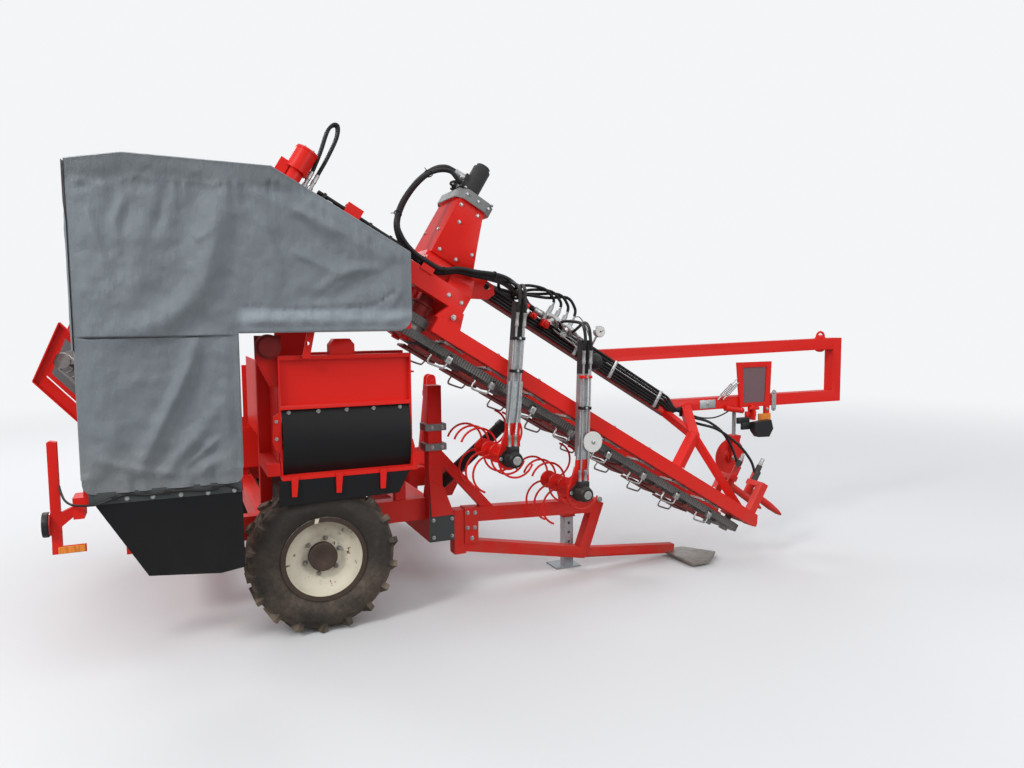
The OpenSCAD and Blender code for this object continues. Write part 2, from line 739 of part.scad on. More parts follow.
beam_y = 150; // inner face of a lower beam from the row
beam_n = 50; // lower face of a lower beam above the belt plane
beam_top = beam_n + beam;
beam_s = [620, 3080];
pulley_y = pulley_r + belt_t + 1;
head_s = 550; // place of the upper pulleys
rear_s = -320; // place of the haulm belts' rear pulleys
tube_y = 200; // inner face of the upper tube from the row
tube_n = 445;
tube = 80;
tube_top = tube_n + tube;
roof_n = 420; // top of the housing over the upper beams
box_s = [435, 700]; // rear face and foot of the drive box
line_r = 11;
hose_r = 17;
hose_y = -165; // the drive hose lies on the near upper beam

// Bridge over the lines on the near upper beam
module line_bridge(s0, s1, top) {
  y0 = -upper_y - 8;
  difference() {
    box([s0, y0, upper_n1 - 1], [s1, -134, top]);
    box([s0 - 1, y0 + 8, upper_n1], [s1 + 1, -142, top - 10]);
  }
  box([s0, y0, upper_n1 - 12], [s1, -upper_y, upper_n1]);
}

module element_head() {
  shaft_end = upper_y + bearing_gap + bearing + 8;
  color(RED) placed() on_element() union() {
    both_sides() box([-450, upper_y - 80, upper_n0], [735, upper_y, upper_n1]);
    box([-430, -upper_y, upper_n1 - 1], [-190, upper_y, upper_n1 + 15]);
    // roofed housing over both beams, and the foot of the drive box
    translate([590, 0, 0]) rotate([90, 0, 90]) linear_extrude(height = 145)
      polygon([[-upper_y, upper_n0 + 1], [-upper_y, upper_n1], [-100, roof_n], [100, roof_n], [upper_y, upper_n1], [upper_y, upper_n0 + 1]]);
    box([box_s[0] - 15, -138, upper_n1 - 1], [box_s[1] + 10, 215, roof_n]);
    // eye plate ahead of the housing
    difference() {
      side_plate([[700, 330], [740, roof_n + 35], [800, roof_n + 68], [872, roof_n + 62], [900, roof_n + 25], [880, roof_n - 20], [734, 320]], -10, 10);
      across(838, 462, -11, 11, 22);
    }
    // arm to the upper tube
    box([640, 99, roof_n - 60], [735, tube_y + tube, roof_n - 1]);
    box([640, tube_y + 14, roof_n - 2], [735, tube_y + tube, tube_top]);
    box([734, tube_y, tube_n], [880, tube_y + tube, tube_top]);
    // hangers of the lower beams
    both_sides() side_plate([[648, upper_n0 + 1], [735, upper_n0 + 1], [760, beam_top], [604, beam_top], [620, 165]], -upper_y - 26, -upper_y + 14);
    // drive housings of the upper pulleys
    for (side = [-1, 1])
      translate([head_s, side * pulley_y, 0]) rotate_extrude()
        polygon([[0, 100], [62, 100], [62, 116], [50, 120], [50, 160], [58, 162], [58, 172], [46, 176], [46, upper_n1 + 6], [0, upper_n1 + 6]]);
    line_bridge(-45, 40, 388);
    line_bridge(420, 490, 384);
    translate([pivot_s, shaft_end, pivot_n]) rotate([90, 0, 0]) cylinder(h = 2 * shaft_end, r = pivot_r);
  }
}

lug_y = beam_y + beam;

module lower_beams() {
  color(RED) placed() on_element() union() {
    both_sides() {
      box([beam_s[0], -beam_y - beam, beam_n], [beam_s[1], -beam_y, beam_top]);
      // nose plate and the seat of the lower pulley
      side_plate([[beam_s[1] - 1, beam_n], [beam_s[1] + 26, beam_n + 8], [beam_s[1] + 26, beam_n + 30], [beam_s[1] - 1, beam_top]], -beam_y - beam, -beam_y);
      box([2940, -beam_y - 1, beam_n], [3060, -60, beam_n + 12]);
    }
    // lugs of the lift cylinder
    box([lift_s - 45, lug_y - 1, beam_top - 40], [lift_s + 45, lug_y + 70, beam_top]);
    for (y = [lug_y, lug_y + 62])
      box([lift_s - 35, y, lift_n - 35], [lift_s + 35, y + 8, beam_top - 39]);
    translate([lift_s, lug_y + 66, lift_n]) rotate([90, 0, 0]) cylinder(h = 62, r = lift_pin_r);
  }
}

module lifting_belts() {
  color(DARK) placed() on_element() for (side = [-1, 1])
    translate([0, side * pulley_y, -belt_h / 2]) band(head_s, belt_tip, pulley_r, belt_t, belt_h);
}

module haulm_belts() {
  color(DARK) placed() on_element() for (side = [-1, 1])
    translate([0, side * pulley_y, beam_n]) band(rear_s, head_s, pulley_r, belt_t, 50);
}

module belt_pulleys() {
  color(STEEL) placed() on_element() for (side = [-1, 1]) translate([0, side * pulley_y, 0]) {
    upright(head_s, 0, -25, 95, pulley_r - fit);
    upright(head_s, 0, 94, 100, 30);
    upright(head_s, 0, -40, -24, 24);
    upright(belt_tip, 0, -25, 25, pulley_r - fit);
    upright(belt_tip, 0, 24, beam_n, 22);
    upright(belt_tip, 0, -44, -24, 28);
    upright(rear_s, 0, 55, 95, pulley_r - fit);
    upright(rear_s, 0, 94, upper_n1 - 1, 20);
  }
}

roller_r = 26;
roller_s = 736;
slat_t = 12;
slat_n = -belt_h / 2 - 14; // top of the slats under the belts
arm_n = beam_n - 12; // lower face of the roller arms

// Roller on the belt's inner strand with its arm, leaf spring, slat and handle, on the near side
module belt_roller() {
  inner = pulley_y - pulley_r + roller_r + fit;
  outer = pulley_y + pulley_r + belt_t;
  grip = outer + 26;
  upright(0, -inner, -25, 25, roller_r);
  upright(0, -inner, slat_n - 2, arm_n + 2, 8, $fn = 24);
  box([-14, -beam_y - 32, arm_n], [14, -inner + 12, beam_n]);
  side_plate([[-15, beam_n], [-15, beam_n - 5], [108, beam_n - 12], [108, beam_n - 8]], -beam_y - 34, -beam_y - 4);
  box([-137, -outer - 10, slat_n - slat_t], [66, -inner + 8, slat_n]);
  box([47, -outer - 24, slat_n - slat_t + 1], [65, -outer - 4, 2]);
  // bent grip on two stubs
  in_plane(-grip - 4, -grip + 5) {
    flat_bar([-47, slat_n + 6], [-43, slat_n - 16], 9);
    flat_bar([-46, slat_n - 14], [54, slat_n - 14], 9);
    flat_bar([51, slat_n - 16], [56, slat_n + 6], 9);
  }
  for (x = [-45, 55])
    box([x - 4, -grip, slat_n - 10], [x + 4, -outer, slat_n - 2]);
}

module belt_rollers() {
  color(STEEL) placed() on_element() both_sides() for (i = [0 : rollers - 1])
    translate([roller_s + roller_pitch * i, 0, 0]) belt_roller();
}

// Leaning case over both upper pulleys, narrower at the top in front, with a cast cap
module drive_box() {
  top = 743;
  cap = 58;
  y0 = -150;
  y1 = 210;
  color(RED) placed() on_element() union() {
    side_plate([[box_s[0], roof_n], [box_s[1], roof_n], [640, 582], [585, top], [box_s[0], top]], y0, y1);
    // cast cap with cut corners, and the hydraulic motor
    translate([0, 0, top]) linear_extrude(height = cap)
      polygon([[box_s[0] - 25, y0 + 40], [box_s[0] + 10, y0 - 25], [580, y0 - 25], [622, y0 + 20], [622, y1 - 20], [580, y1 + 25], [box_s[0] + 10, y1 + 25], [box_s[0] - 25, y1 - 40]]);
    upright(510, 50, top + cap - 1, 850, 62);
    upright(510, 50, 849, 1010, 50);
    upright(510, 50, 1009, 1030, 40);
    // port block behind the motor
    box([440, 26, 880], [480, 74, 940]);
  }
}

module rear_motor() {
  foot = upper_n1 + 15;
  color(RED) placed() on_element() translate([rear_s, -pulley_y, 0]) union() {
    rotate_extrude()
      polygon([[0, foot], [48, foot], [48, foot + 15], [42, foot + 18], [42, 470], [46, 474], [46, 498], [38, 508], [0, 508]]);
    box([-90, -30, foot], [-38, 30, 415]);
  }
}

guard_y = row_y + tube_y + tube / 2;
knee = on_row(2505, -40, 380);

// Marker frame, hinge and lamp arm in front of the guard's lower beam
module marker_frame() {
  y0 = guard_y - tube / 2;
  in_plane(y0 - 18, y0) difference() {
    polygon([[2876, 1258], [3176, 1258], [3162, 880], [3122, 880], [3122, 950], [2906, 950]]);
    polygon([[2922, 1222], [3132, 1222], [3122, 975], [2936, 975]]);
  }
  rod([2780, y0 - 12, 950], [2930, y0 - 12, 925], 20);
  box([2985, y0 - 60, 860], [3005, y0, 946]);
}

module upper_frame() {
  in_element = [tube_y + 20, 575];
  color(RED) placed() union() {
    difference() {
      union() {
        // front brace from the guard to the near lower beam
        bar(on_row(2536, in_element[0], in_element[1]), knee, 60, 60);
        bar(on_row(2410, in_element[0], tube_n + 20), knee, 45, 45);
        bar(knee, on_row(2387, -190, beam_n + 40), 60, 60);
        bar(knee, on_row(2950, -190, beam_n + 60), 55, 55);
        translate(knee) sphere(r = 40);
      }
      on_element() box([2000, -300, -100], [3200, 0, beam_top]);
    }
    in_plane(guard_y - tube / 2, guard_y + tube / 2) {
      flat_bar(on_slope(880, tube_n + tube / 2), on_slope(2440, tube_n + tube / 2), tube);
      flat_bar([1800, 1330], [x_front - 30, 1370], tube);
      flat_bar([2300, 985], [x_front - 30, 985], tube);
      translate([x_front - 80, 945]) square([80, 465]);
    }
    // lifting eye on the front corner
    in_plane(guard_y - 8, guard_y + 8) translate([3680, 1370]) difference() {
      circle(r = 62);
      circle(r = 40);
    }
    marker_frame();
    // stem and fork of the cutting disc
    upright(disc_x + 30, guard_y, disc_z + 150, 946, 13);
    box([disc_x - 5, guard_y - 40, disc_z + 132], [disc_x + 60, guard_y + 40, disc_z + 151]);
    for (y = [guard_y - 40, guard_y + 30])
      side_plate([[disc_x - 5, disc_z + 150], [disc_x + 60, disc_z + 150], [disc_x + 24, disc_z - 24], [disc_x - 24, disc_z - 24]], y, y + 10);
  }
}

disc_x = 2870;
disc_z = 600;
disc_r = 125;

module cutting_disc() {
  color(RED) placed() translate([disc_x, guard_y, disc_z]) rotate([90, 0, 0])
    rotate_extrude($fn = 96)
      polygon([[0, -24], [36, -24], [36, -8], [60, -3], [disc_r, -1], [disc_r, 1], [60, 3], [36, 8], [36, 24], [0, 24]]);
}

module marker_board() {
  y0 = guard_y - tube / 2;
  color(GREY) placed() union() {
    side_plate([[2922.5, 1221.5], [3131.5, 1221.5], [3121.5, 975.5], [2936.5, 975.5]], y0 - 12, y0 - 8);
    // latch strap, reflector and lamp
    in_plane(y0 - 6, y0) round_bar([3215, 925], [3215, 1035], 20);
    box([3060, y0 - 28, 846], [3168, y0 - 18, 896]);
    side_plate([[2955, 850], [3100, 862], [3118, 800], [3085, 745], [2990, 748], [2955, 790]], y0 - 110, y0 - 60.3);
  }
}

// Strap with round ends from [x, z] point p to point q
module round_bar(p, q, r) {
  flat_bar(p, q, 2 * r);
  translate(p) circle(r = r);
  translate(q) circle(r = r);
}

module leaf_lifters() {
  color(RED) placed() on_element() for (side = [-1, 1]) {
    box([3020, side > 0 ? 165 : -215, beam_top], [3070, side > 0 ? 215 : -165, 330]);
    box([3020, side > 0 ? 70 : -215, 296], [3070, side > 0 ? 215 : -70, 330]);
    // small motor and torpedo
    translate([3045, side * 95, 0]) {
      upright(0, 0, 240, 400, 26);
      upright(0, 0, 399, 440, 18);
      translate([0, 0, 262]) rotate([0, 94, 0]) rotate_extrude()
        polygon([[0, 0], [24, 0], [24, 220], [17, 300], [8, 338], [0, 346]]);
    }
  }
}

// SHAKERS
// Each row: post top [x, z], post foot [x, z], rotor axis [x, z]

shakers = [
  [[1034, 1658], [993, 1180], [956, 835]],
  [[1428, 1449], [1408, 800], [1376, 611]]
];
shaker_y = row_y - beam_y - beam; // outer face of the near lower beam
post_w = 50;
motor_r = 50;

module shaker_posts() {
  disc = [1458, 885];
  face = shaker_y - post_w;
  color(STEEL) placed() {
    in_plane(shaker_y - post_w, shaker_y) for (k = shakers)
      flat_bar(k[0], k[1], post_w);
    // white guide disc on the front post
    box([disc.x - 50, face - 29, disc.y - 14], [disc.x + 12, face + 12, disc.y + 14]);
    across(disc.x, disc.y, face - 30, face - 16, 58);
  }
}

// Hooked plate from the post's foot round the motor
module shaker_arm(k) {
  foot = k[1];
  axis = k[2];
  w = 41;
  hook = 66;
  in_plane(shaker_y - post_w - 15, shaker_y - post_w) difference() {
    union() {
      flat_bar([foot.x + 4, foot.y + 60], [axis.x + 20, axis.y + 120], 2 * w);
      polygon([[axis.x - 24, axis.y + 140], [axis.x + 62, axis.y + 130], [axis.x + hook, axis.y], [axis.x - hook, axis.y]]);
      translate(axis) circle(r = hook);
    }
    translate(axis) circle(r = 20 + fit);
    // opening of the hook in front of the motor
    translate(axis + [34, 12]) square([60, 44]);
  }
}

module shaker_arms() {
  color(RED) placed() for (k = shakers)
    shaker_arm(k);
}

module shaker_motors() {
  back = shaker_y - post_w - 15;
  color(DARK) placed() for (k = shakers) {
    across(k[2].x, k[2].y, y_right + 12, back, motor_r);
    across(k[2].x, k[2].y, y_right, y_right + 13, motor_r - 14);
    // port block
    box([k[2].x - 22, back - 62, k[2].y + 30], [k[2].x + 22, back - 22, k[2].y + motor_r + 20]);
  }
}

module shaker_pipes() {
  r = 9;
  color(STEEL) placed() for (k = shakers, side = [-1, 1]) {
    along = (k[0] - k[1]) / norm(k[0] - k[1]);
    off = side * (post_w / 2 + r + fit) * [along.y, -along.x];
    a = k[0] - 60 * along + off;
    b = k[1] - 20 * along + off;
    rod([a.x, shaker_y - 25, a.y], [b.x, shaker_y - 25, b.y], r);
  }
}

// Shaft with flanges that carry curved shaking rods
module shaker_rotor(k) {
  y0 = shaker_y - post_w - 14;
  y1 = row_y + 90;
  bend = shaker_r / 2 - 10;
  color(RED) placed() translate([k[2].x, 0, k[2].y]) union() {
    across(0, 0, y0, y1, 20);
    for (y = [row_y - 140, row_y - 30, y1 - 12])
      translate([0, y, 0]) {
        across(0, 0, 0, 10, 52);
        for (i = [0 : 3])
          rotate([0, 90 * i + 20, 0]) translate([0, 5, bend + 14]) rotate([-90, 0, 0]) rotate([0, 0, -90])
            rotate_extrude(angle = 165) translate([bend, 0]) circle(r = 6, $fn = 24);
      }
  }
}

module shaker_rotor_rear() { shaker_rotor(shakers[0]); }
module shaker_rotor_front() { shaker_rotor(shakers[1]); }

// HYDRAULICS

manifold_s = [1300, 1520];

module hydraulic_block() {
  y0 = tube_y - 30;
  y1 = tube_y + tube - 5;
  top = tube_top + 60;
  color(STEEL) placed() on_element() union() {
    box([manifold_s[0], y0, tube_top], [manifold_s[1], y1, top]);
    for (s = [1330, 1385, 1440, 1495]) {
      upright(s, y0 + 30, top - 1, top + 42, 15);
      translate([s, y0 + 1, tube_top + 30]) rotate([90, 0, 0]) cylinder(h = 34, r = 12);
    }
    // accumulator and pressure gauge
    translate([1716, 118, tube_n + 22]) sphere(r = 52);
    translate([1716, 118, tube_n + 22]) rotate([-90, 0, 0]) cylinder(h = tube_y - 118, r = 15);
    upright(1722, tube_y + 56, tube_top, 660, 7);
    translate([1722, tube_y + 66, 680]) rotate([90, 0, 0]) cylinder(h = 26, r = 34);
    // fittings of the rear hoses
    for (y = rear_hose_y, s = rear_hose_s) {
      upright(s, y, upper_n1 + 15, 370, 14);
      upright(s, y, 369, hose_foot, 11);
    }
  }
}

module hydraulic_lines() {
  beside = tube_y - 9 - fit;
  color(DARK) placed() on_element() {
    for (y = [-upper_y + line_r, -upper_y + 3 * line_r + 1])
      rod([-185, y, upper_n1 + line_r + fit], [258, y, upper_n1 + line_r + fit], line_r);
    for (n = [495, 514])
      rod([892, beside, n], [2330, beside, n], 9);
    for (n = [534, 553])
      rod([manifold_s[1] + fit, beside, n], [2330, beside, n], 9);
  }
}

// From the motor on the drive box down to the near upper beam, along it and on to the manifold
module drive_hose() {
  color(DARK) placed() hose([
    on_row(439.7, 50, 910), on_row(410, 50, 910), on_row(380, 50, 910), on_row(320, 30, 890),
    on_row(262, -20, 820), on_row(214, -70, 700), on_row(196, -110, 560), on_row(214, -150, 440),
    on_row(280, hose_y, 368), on_row(350, hose_y, 342), on_row(440, hose_y, 339),
    on_row(520, -172, 344), on_row(600, -174, 398), on_row(690, -174, 432), on_row(800, -120, 480),
    on_row(920, -10, 530), on_row(1060, 120, 556), on_row(1160, 190, 556), on_row(1220, 215, 556),
    on_row(1260, 215, 556), on_row(1299.7, 215, 556)
  ], hose_r, 2);
}

rear_hose_y = [-76, -46];
rear_hose_s = [-252, -222];
hose_foot = 398;

// Upright loop beside the rear motor
module rear_hose(y) {
  color(DARK) placed() hose([
    on_row(rear_hose_s[0], y, hose_foot + fit), on_row(rear_hose_s[0], y, 420),
    on_row(rear_hose_s[0], y, 450), on_row(-266, y, 550), on_row(-287, y, 655), on_row(-279, y, 700),
    on_row(-256, y, 704), on_row(-234, y, 650), on_row(-224, y, 540), on_row(rear_hose_s[1], y, 450),
    on_row(rear_hose_s[1], y, 420), on_row(rear_hose_s[1], y, hose_foot + fit)
  ], 9, 2);
}

module rear_hose_near() { rear_hose(rear_hose_y[0]); }
module rear_hose_far() { rear_hose(rear_hose_y[1]); }

// LIFT CYLINDER

function lift_len() = norm([lift_eye[0] - lift_base[0], lift_eye[1] - lift_base[1]]);
function lift_turn() = atan2(lift_eye[1] - lift_base[1], lift_eye[0] - lift_base[0]);

// Drawn with the cylinder along X from its base pin
module on_lift() {
  translate([lift_base[0], lift_y, lift_base[1]]) rotate([0, -lift_turn(), 0]) children();
}

module lift_barrel() {
  color(DARK) placed() on_lift() difference() {
    union() {
      translate([0, 25, 0]) rotate([90, 0, 0]) cylinder(h = 50, r = 32);
      translate([0, -20, -25]) cube([71, 40, 50]);
      translate([70, 0, 0]) rotate([0, 90, 0]) cylinder(h = 530, r = 36);
      translate([560, 0, 0]) rotate([0, 90, 0]) cylinder(h = 40, r = 40);
    }
    translate([0, 30, 0]) rotate([90, 0, 0]) cylinder(h = 60, r = lift_pin_r + fit);
    translate([100, 0, 0]) rotate([0, 90, 0]) cylinder(h = 520, r = 20 + fit);
  }
}

module lift_rod() {
  len = lift_len();
  color(STEEL) placed() on_lift() difference() {
    union() {
      translate([len, 25, 0]) rotate([90, 0, 0]) cylinder(h = 50, r = 30);
      translate([220, 0, 0]) rotate([0, 90, 0]) cylinder(h = len - 220, r = 20);
    }
    translate([len, 30, 0]) rotate([90, 0, 0]) cylinder(h = 60, r = lift_pin_r + eye_play);
  }
}

chassis_frame();
axle();
share_frame();
leg_sleeves();
web_housing();
side_panel();
panel_rubber();
cross_web();
elevator_trough();
elevator_lining();
elevator_web();
curtain_frame();
side_curtain();
rear_flap();
rubber_skirt();
lamp_brackets();
rear_lamps();
headstock();
tyre_right();
rim_right();
tyre_left();
rim_left();
leg_right();
leg_left();
element_head();
lower_beams();
lifting_belts();
haulm_belts();
belt_pulleys();
belt_rollers();
drive_box();
rear_motor();
upper_frame();
marker_board();
leaf_lifters();
shaker_posts();
shaker_arms();
shaker_motors();
shaker_pipes();
hydraulic_block();
hydraulic_lines();
drive_hose();
rear_hose_near();
rear_hose_far();
shaker_rotor_rear();
shaker_rotor_front();
cutting_disc();
lift_barrel();
lift_rod();
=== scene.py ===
"""Top-lifting carrot harvester: looks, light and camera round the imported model."""
import json
import math

import bmesh
import bpy
from mathutils import Matrix, Vector, noise


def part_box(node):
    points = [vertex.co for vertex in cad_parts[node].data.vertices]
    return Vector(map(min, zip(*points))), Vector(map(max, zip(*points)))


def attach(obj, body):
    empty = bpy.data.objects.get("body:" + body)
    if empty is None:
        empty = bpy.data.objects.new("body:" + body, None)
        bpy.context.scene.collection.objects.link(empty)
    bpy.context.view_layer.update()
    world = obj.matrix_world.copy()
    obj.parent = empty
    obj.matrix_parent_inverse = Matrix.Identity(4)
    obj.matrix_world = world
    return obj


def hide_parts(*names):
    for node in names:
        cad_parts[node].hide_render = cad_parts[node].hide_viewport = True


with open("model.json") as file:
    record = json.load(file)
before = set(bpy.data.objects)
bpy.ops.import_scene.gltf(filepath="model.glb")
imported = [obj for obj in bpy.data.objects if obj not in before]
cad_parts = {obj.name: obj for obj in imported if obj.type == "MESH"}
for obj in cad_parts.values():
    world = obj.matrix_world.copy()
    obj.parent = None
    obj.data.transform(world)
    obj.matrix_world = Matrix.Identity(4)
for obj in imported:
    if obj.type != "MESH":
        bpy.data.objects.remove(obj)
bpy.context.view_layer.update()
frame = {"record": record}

# Frame of the machine: X from the wheel axle, Y from its middle, Z from the ground
axle_low, axle_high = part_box("axle")
ORIGIN = Vector(((axle_low[0] + axle_high[0]) / 2, (axle_low[1] + axle_high[1]) / 2, 0.0))
SLOPE = math.radians(31)
ROW_Y = -1.05
BELT_Z = 1.788
WHEEL_Z = 0.38
HUB_Y = 1.1
ALONG = Vector((math.cos(SLOPE), 0.0, -math.sin(SLOPE)))
ACROSS = Vector((0.0, 1.0, 0.0))
SQUARE = Vector((math.sin(SLOPE), 0.0, math.cos(SLOPE)))
UP = Vector((0.0, 0.0, 1.0))
NEAR = Vector((0.0, -1.0, 0.0))
ELEMENT = "lifting_element"
BODY_OF = {node: body for body, nodes in frame["record"]["behaviour"]["bodies"].items() for node in nodes}


def at(x, y, z):
    """Row-frame place of a machine point."""
    return ORIGIN + Vector((x, y, z))


def up_slope(s, y, n):
    """Row-frame place of a point s down the belts, y from the row and n above the belt plane."""
    return at(0, ROW_Y, BELT_Z) + ALONG * s + ACROSS * y + SQUARE * n


def to_machine(point):
    return Vector(point) - ORIGIN


def to_slope(point):
    d = Vector(point) - at(0, ROW_Y, BELT_Z)
    return Vector((d.dot(ALONG), d.dot(ACROSS), d.dot(SQUARE)))


def link(thing):
    bpy.context.scene.collection.objects.link(thing)
    return thing


def smooth_route(points, steps):
    """Points of a smooth curve through the given ones."""
    route = []
    last = len(points) - 1
    for i in range(last):
        a, b, c, d = (points[k] for k in (max(i - 1, 0), i, i + 1, min(i + 2, last)))
        for k in range(steps):
            t = k / steps
            route.append(0.5 * (2 * b + (c - a) * t + (2 * a - 5 * b + 4 * c - d) * t * t
                                + (3 * b - a - 3 * c + d) * t ** 3))
    return route + [points[-1]]


# Camera and light

CAMERA_AT = at(-0.667, -5.033, 1.57)
CAMERA_YAW, CAMERA_PITCH, CAMERA_ROLL = (math.radians(angle) for angle in (24, 4.85, -0.5))
CAMERA_LENS, SENSOR_WIDTH, CAMERA_REACH = 27.04, 36, 100
BACKDROP = (0.90, 0.915, 0.93)
SKY, SKY_LOW, SKY_RISE = (0.92, 0.95, 1.0), 0.45, 0.75
FLOOR_HALF = 40.0
FLOOR_SEEN, FLOOR_BOUNCE = (0.64, 0.64, 0.636), (0.34, 0.335, 0.33)
FLOOR_FADE = (3.0, 13.0)
# lamp: place, target, size and power
LAMPS = {
    "key": (at(-6.0, -4.6, 6.2), at(0.6, -0.6, 0.9), 2.0, 400),
    "fill": (at(5.0, -7.0, 3.5), at(1.2, -0.8, 1.0), 4.0, 150),
    "back": (at(-2.0, 6.5, 6.5), at(0.5, 0.0, 1.0), 4.0, 240),
}


def make_camera():
    ahead = Vector((math.sin(CAMERA_YAW) * math.cos(CAMERA_PITCH),
                    math.cos(CAMERA_YAW) * math.cos(CAMERA_PITCH), -math.sin(CAMERA_PITCH)))
    right = Vector((math.cos(CAMERA_YAW), -math.sin(CAMERA_YAW), 0.0))
    up = right.cross(ahead)
    right, up = (right * math.cos(CAMERA_ROLL) + up * math.sin(CAMERA_ROLL),
                 up * math.cos(CAMERA_ROLL) - right * math.sin(CAMERA_ROLL))
    data = bpy.data.cameras.new("camera")
    data.lens = CAMERA_LENS
    data.sensor_width = SENSOR_WIDTH
    data.clip_end = CAMERA_REACH
    camera = link(bpy.data.objects.new("camera", data))
    turn = Matrix((right, up, -ahead)).transposed().to_4x4()
    camera.matrix_world = Matrix.Translation(CAMERA_AT) @ turn
    bpy.context.scene.camera = camera


class Nodes:
    """Builds one node tree; its methods give back output sockets."""

    def __init__(self, tree):
        self.tree = tree

    def feed(self, socket, value):
        """Link a socket to another one, or set its number, vector or colour."""
        if isinstance(value, bpy.types.NodeSocket):
            self.tree.links.new(value, socket)
        elif socket.type == "RGBA":
            socket.default_value = (*value, 1)
        else:
            socket.default_value = value

    def add(self, kind, inputs=(), output=0, **settings):
        node = self.tree.nodes.new("ShaderNode" + kind)
        for key, value in settings.items():
            setattr(node, key, value)
        for key, value in dict(inputs).items():
            self.feed(node.inputs[key], value)
        return node.outputs[output]

    def place(self):
        """Place in the object's own metres."""
        return self.add("TexCoord", output="Object")

    def axis(self, vector, name):
        return self.add("SeparateXYZ", {0: vector}, name)

    def math(self, kind, a, b):
        return self.add("Math", {0: a, 1: b}, operation=kind)

    def times(self, a, b):
        return self.math("MULTIPLY", a, b)

    def plus(self, a, b):
        return self.math("ADD", a, b)

    def mix(self, factor, a, b):
        """Colour a where factor is 0 and b where it is 1."""
        return self.add("Mix", {"Factor": factor, 6: a, 7: b}, 2, data_type="RGBA")

    def noise(self, scale, detail, rough, stretch=None):
        """Noise, stretched by a vector if one is given."""
        where = self.place()
        if stretch:
            where = self.add("Mapping", {"Vector": where, "Scale": stretch})
        return self.add("TexNoise", {"Vector": where, "Scale": scale, "Detail": detail, "Roughness": rough},
                        "Fac")

    def ramp(self, source, *stops):
        """Ramp over source of two stops (position, colour or grey)."""
        output = self.add("ValToRGB", {"Fac": source}, "Color")
        for element, (place, value) in zip(output.node.color_ramp.elements, stops):
            element.position = place
            element.color = (*value, 1) if isinstance(value, tuple) else (value, value, value, 1)
        return output

    def span(self, value, low, high, start=0.0, end=1.0, kind="LINEAR"):
        """From start where value is low to end where it is high."""
        return self.add("MapRange", {"Value": value, "From Min": low, "From Max": high, "To Min": start,
                                     "To Max": end}, interpolation_type=kind)

    def between(self, value, low, high):
        return self.span(value, low, high, kind="SMOOTHSTEP")

    def low_down(self, top, bottom):
        """1 below the height bottom, 0 above top."""
        return self.span(self.axis(self.place(), "Z"), bottom, top, 1.0, 0.0)

    def bump(self, source, strength, distance):
        return self.add("Bump", {"Strength": strength, "Distance": distance, "Height": source})

    def seen_directly(self):
        """1 where the camera sees the surface straight or through glass."""
        path = self.add("LightPath", output="Is Camera Ray").node.outputs
        return self.math("MAXIMUM", path["Is Camera Ray"], path["Is Transmission Ray"])

    def blend_shaders(self, name, factor, a, b):
        """Feed the output node with shader a, and with b where factor is 1."""
        self.feed(self.tree.nodes[name].inputs["Surface"], self.add("MixShader", {0: factor, 1: a, 2: b}))


def make_light():
    world = bpy.data.worlds.new("studio")
    bpy.context.scene.world = world
    world.use_nodes = True
    t = Nodes(world.node_tree)
    # an overcast sky, brighter overhead than at the horizon
    overhead = t.math("MAXIMUM", t.axis(t.add("TexCoord", output="Generated"), "Z"), 0.0)
    sky = t.tree.nodes["Background"]
    t.feed(sky.inputs["Color"], SKY)
    t.feed(sky.inputs["Strength"], t.plus(t.times(overhead, SKY_RISE), SKY_LOW))
    seen = t.add("Background", {"Color": BACKDROP, "Strength": 1.0})
    t.blend_shaders("World Output", t.seen_directly(), sky.outputs[0], seen)
    for name, (place, target, size, power) in LAMPS.items():
        data = bpy.data.lights.new(name, "AREA")
        data.shape = "DISK"
        data.size = size
        data.energy = power
        lamp = link(bpy.data.objects.new(name, data))
        lamp.location = place
        lamp.rotation_euler = (target - place).to_track_quat("-Z", "Y").to_euler()


def make_floor():
    mesh = bpy.data.meshes.new("floor")
    h = FLOOR_HALF
    mesh.from_pydata([(-h, -h, 0), (h, -h, 0), (h, h, 0), (-h, h, 0)], [], [(0, 1, 2, 3)])
    material, t, shader = new_material("floor", FLOOR_SEEN, 0.9)
    # it throws less light back than the camera sees, so that undersides stay dark
    t.feed(shader["Base Color"], t.mix(t.seen_directly(), FLOOR_BOUNCE, FLOOR_SEEN))
    # far off the floor takes the backdrop's tone, for the camera only
    away = t.add("VectorMath", {0: t.place()}, "Value", operation="LENGTH")
    fade = t.times(t.between(away, *FLOOR_FADE), t.seen_directly())
    t.blend_shaders("Material Output", fade, t.tree.nodes["Principled BSDF"].outputs[0],
                    t.add("Emission", {"Color": BACKDROP}))
    mesh.materials.append(material)
    link(bpy.data.objects.new("floor", mesh))


# Materials

DUST, CHIP = (0.20, 0.15, 0.11), (0.09, 0.045, 0.03)


def new_material(name, color, rough, metallic=0.0):
    """A material, the builder of its nodes and the inputs of its shader."""
    material = bpy.data.materials.new(name)
    material.use_nodes = True
    t = Nodes(material.node_tree)
    shader = t.tree.nodes["Principled BSDF"].inputs
    t.feed(shader["Base Color"], color)
    t.feed(shader["Roughness"], rough)
    t.feed(shader["Metallic"], metallic)
    return material, t, shader


def scaled(color, factor):
    return tuple(c * factor for c in color)


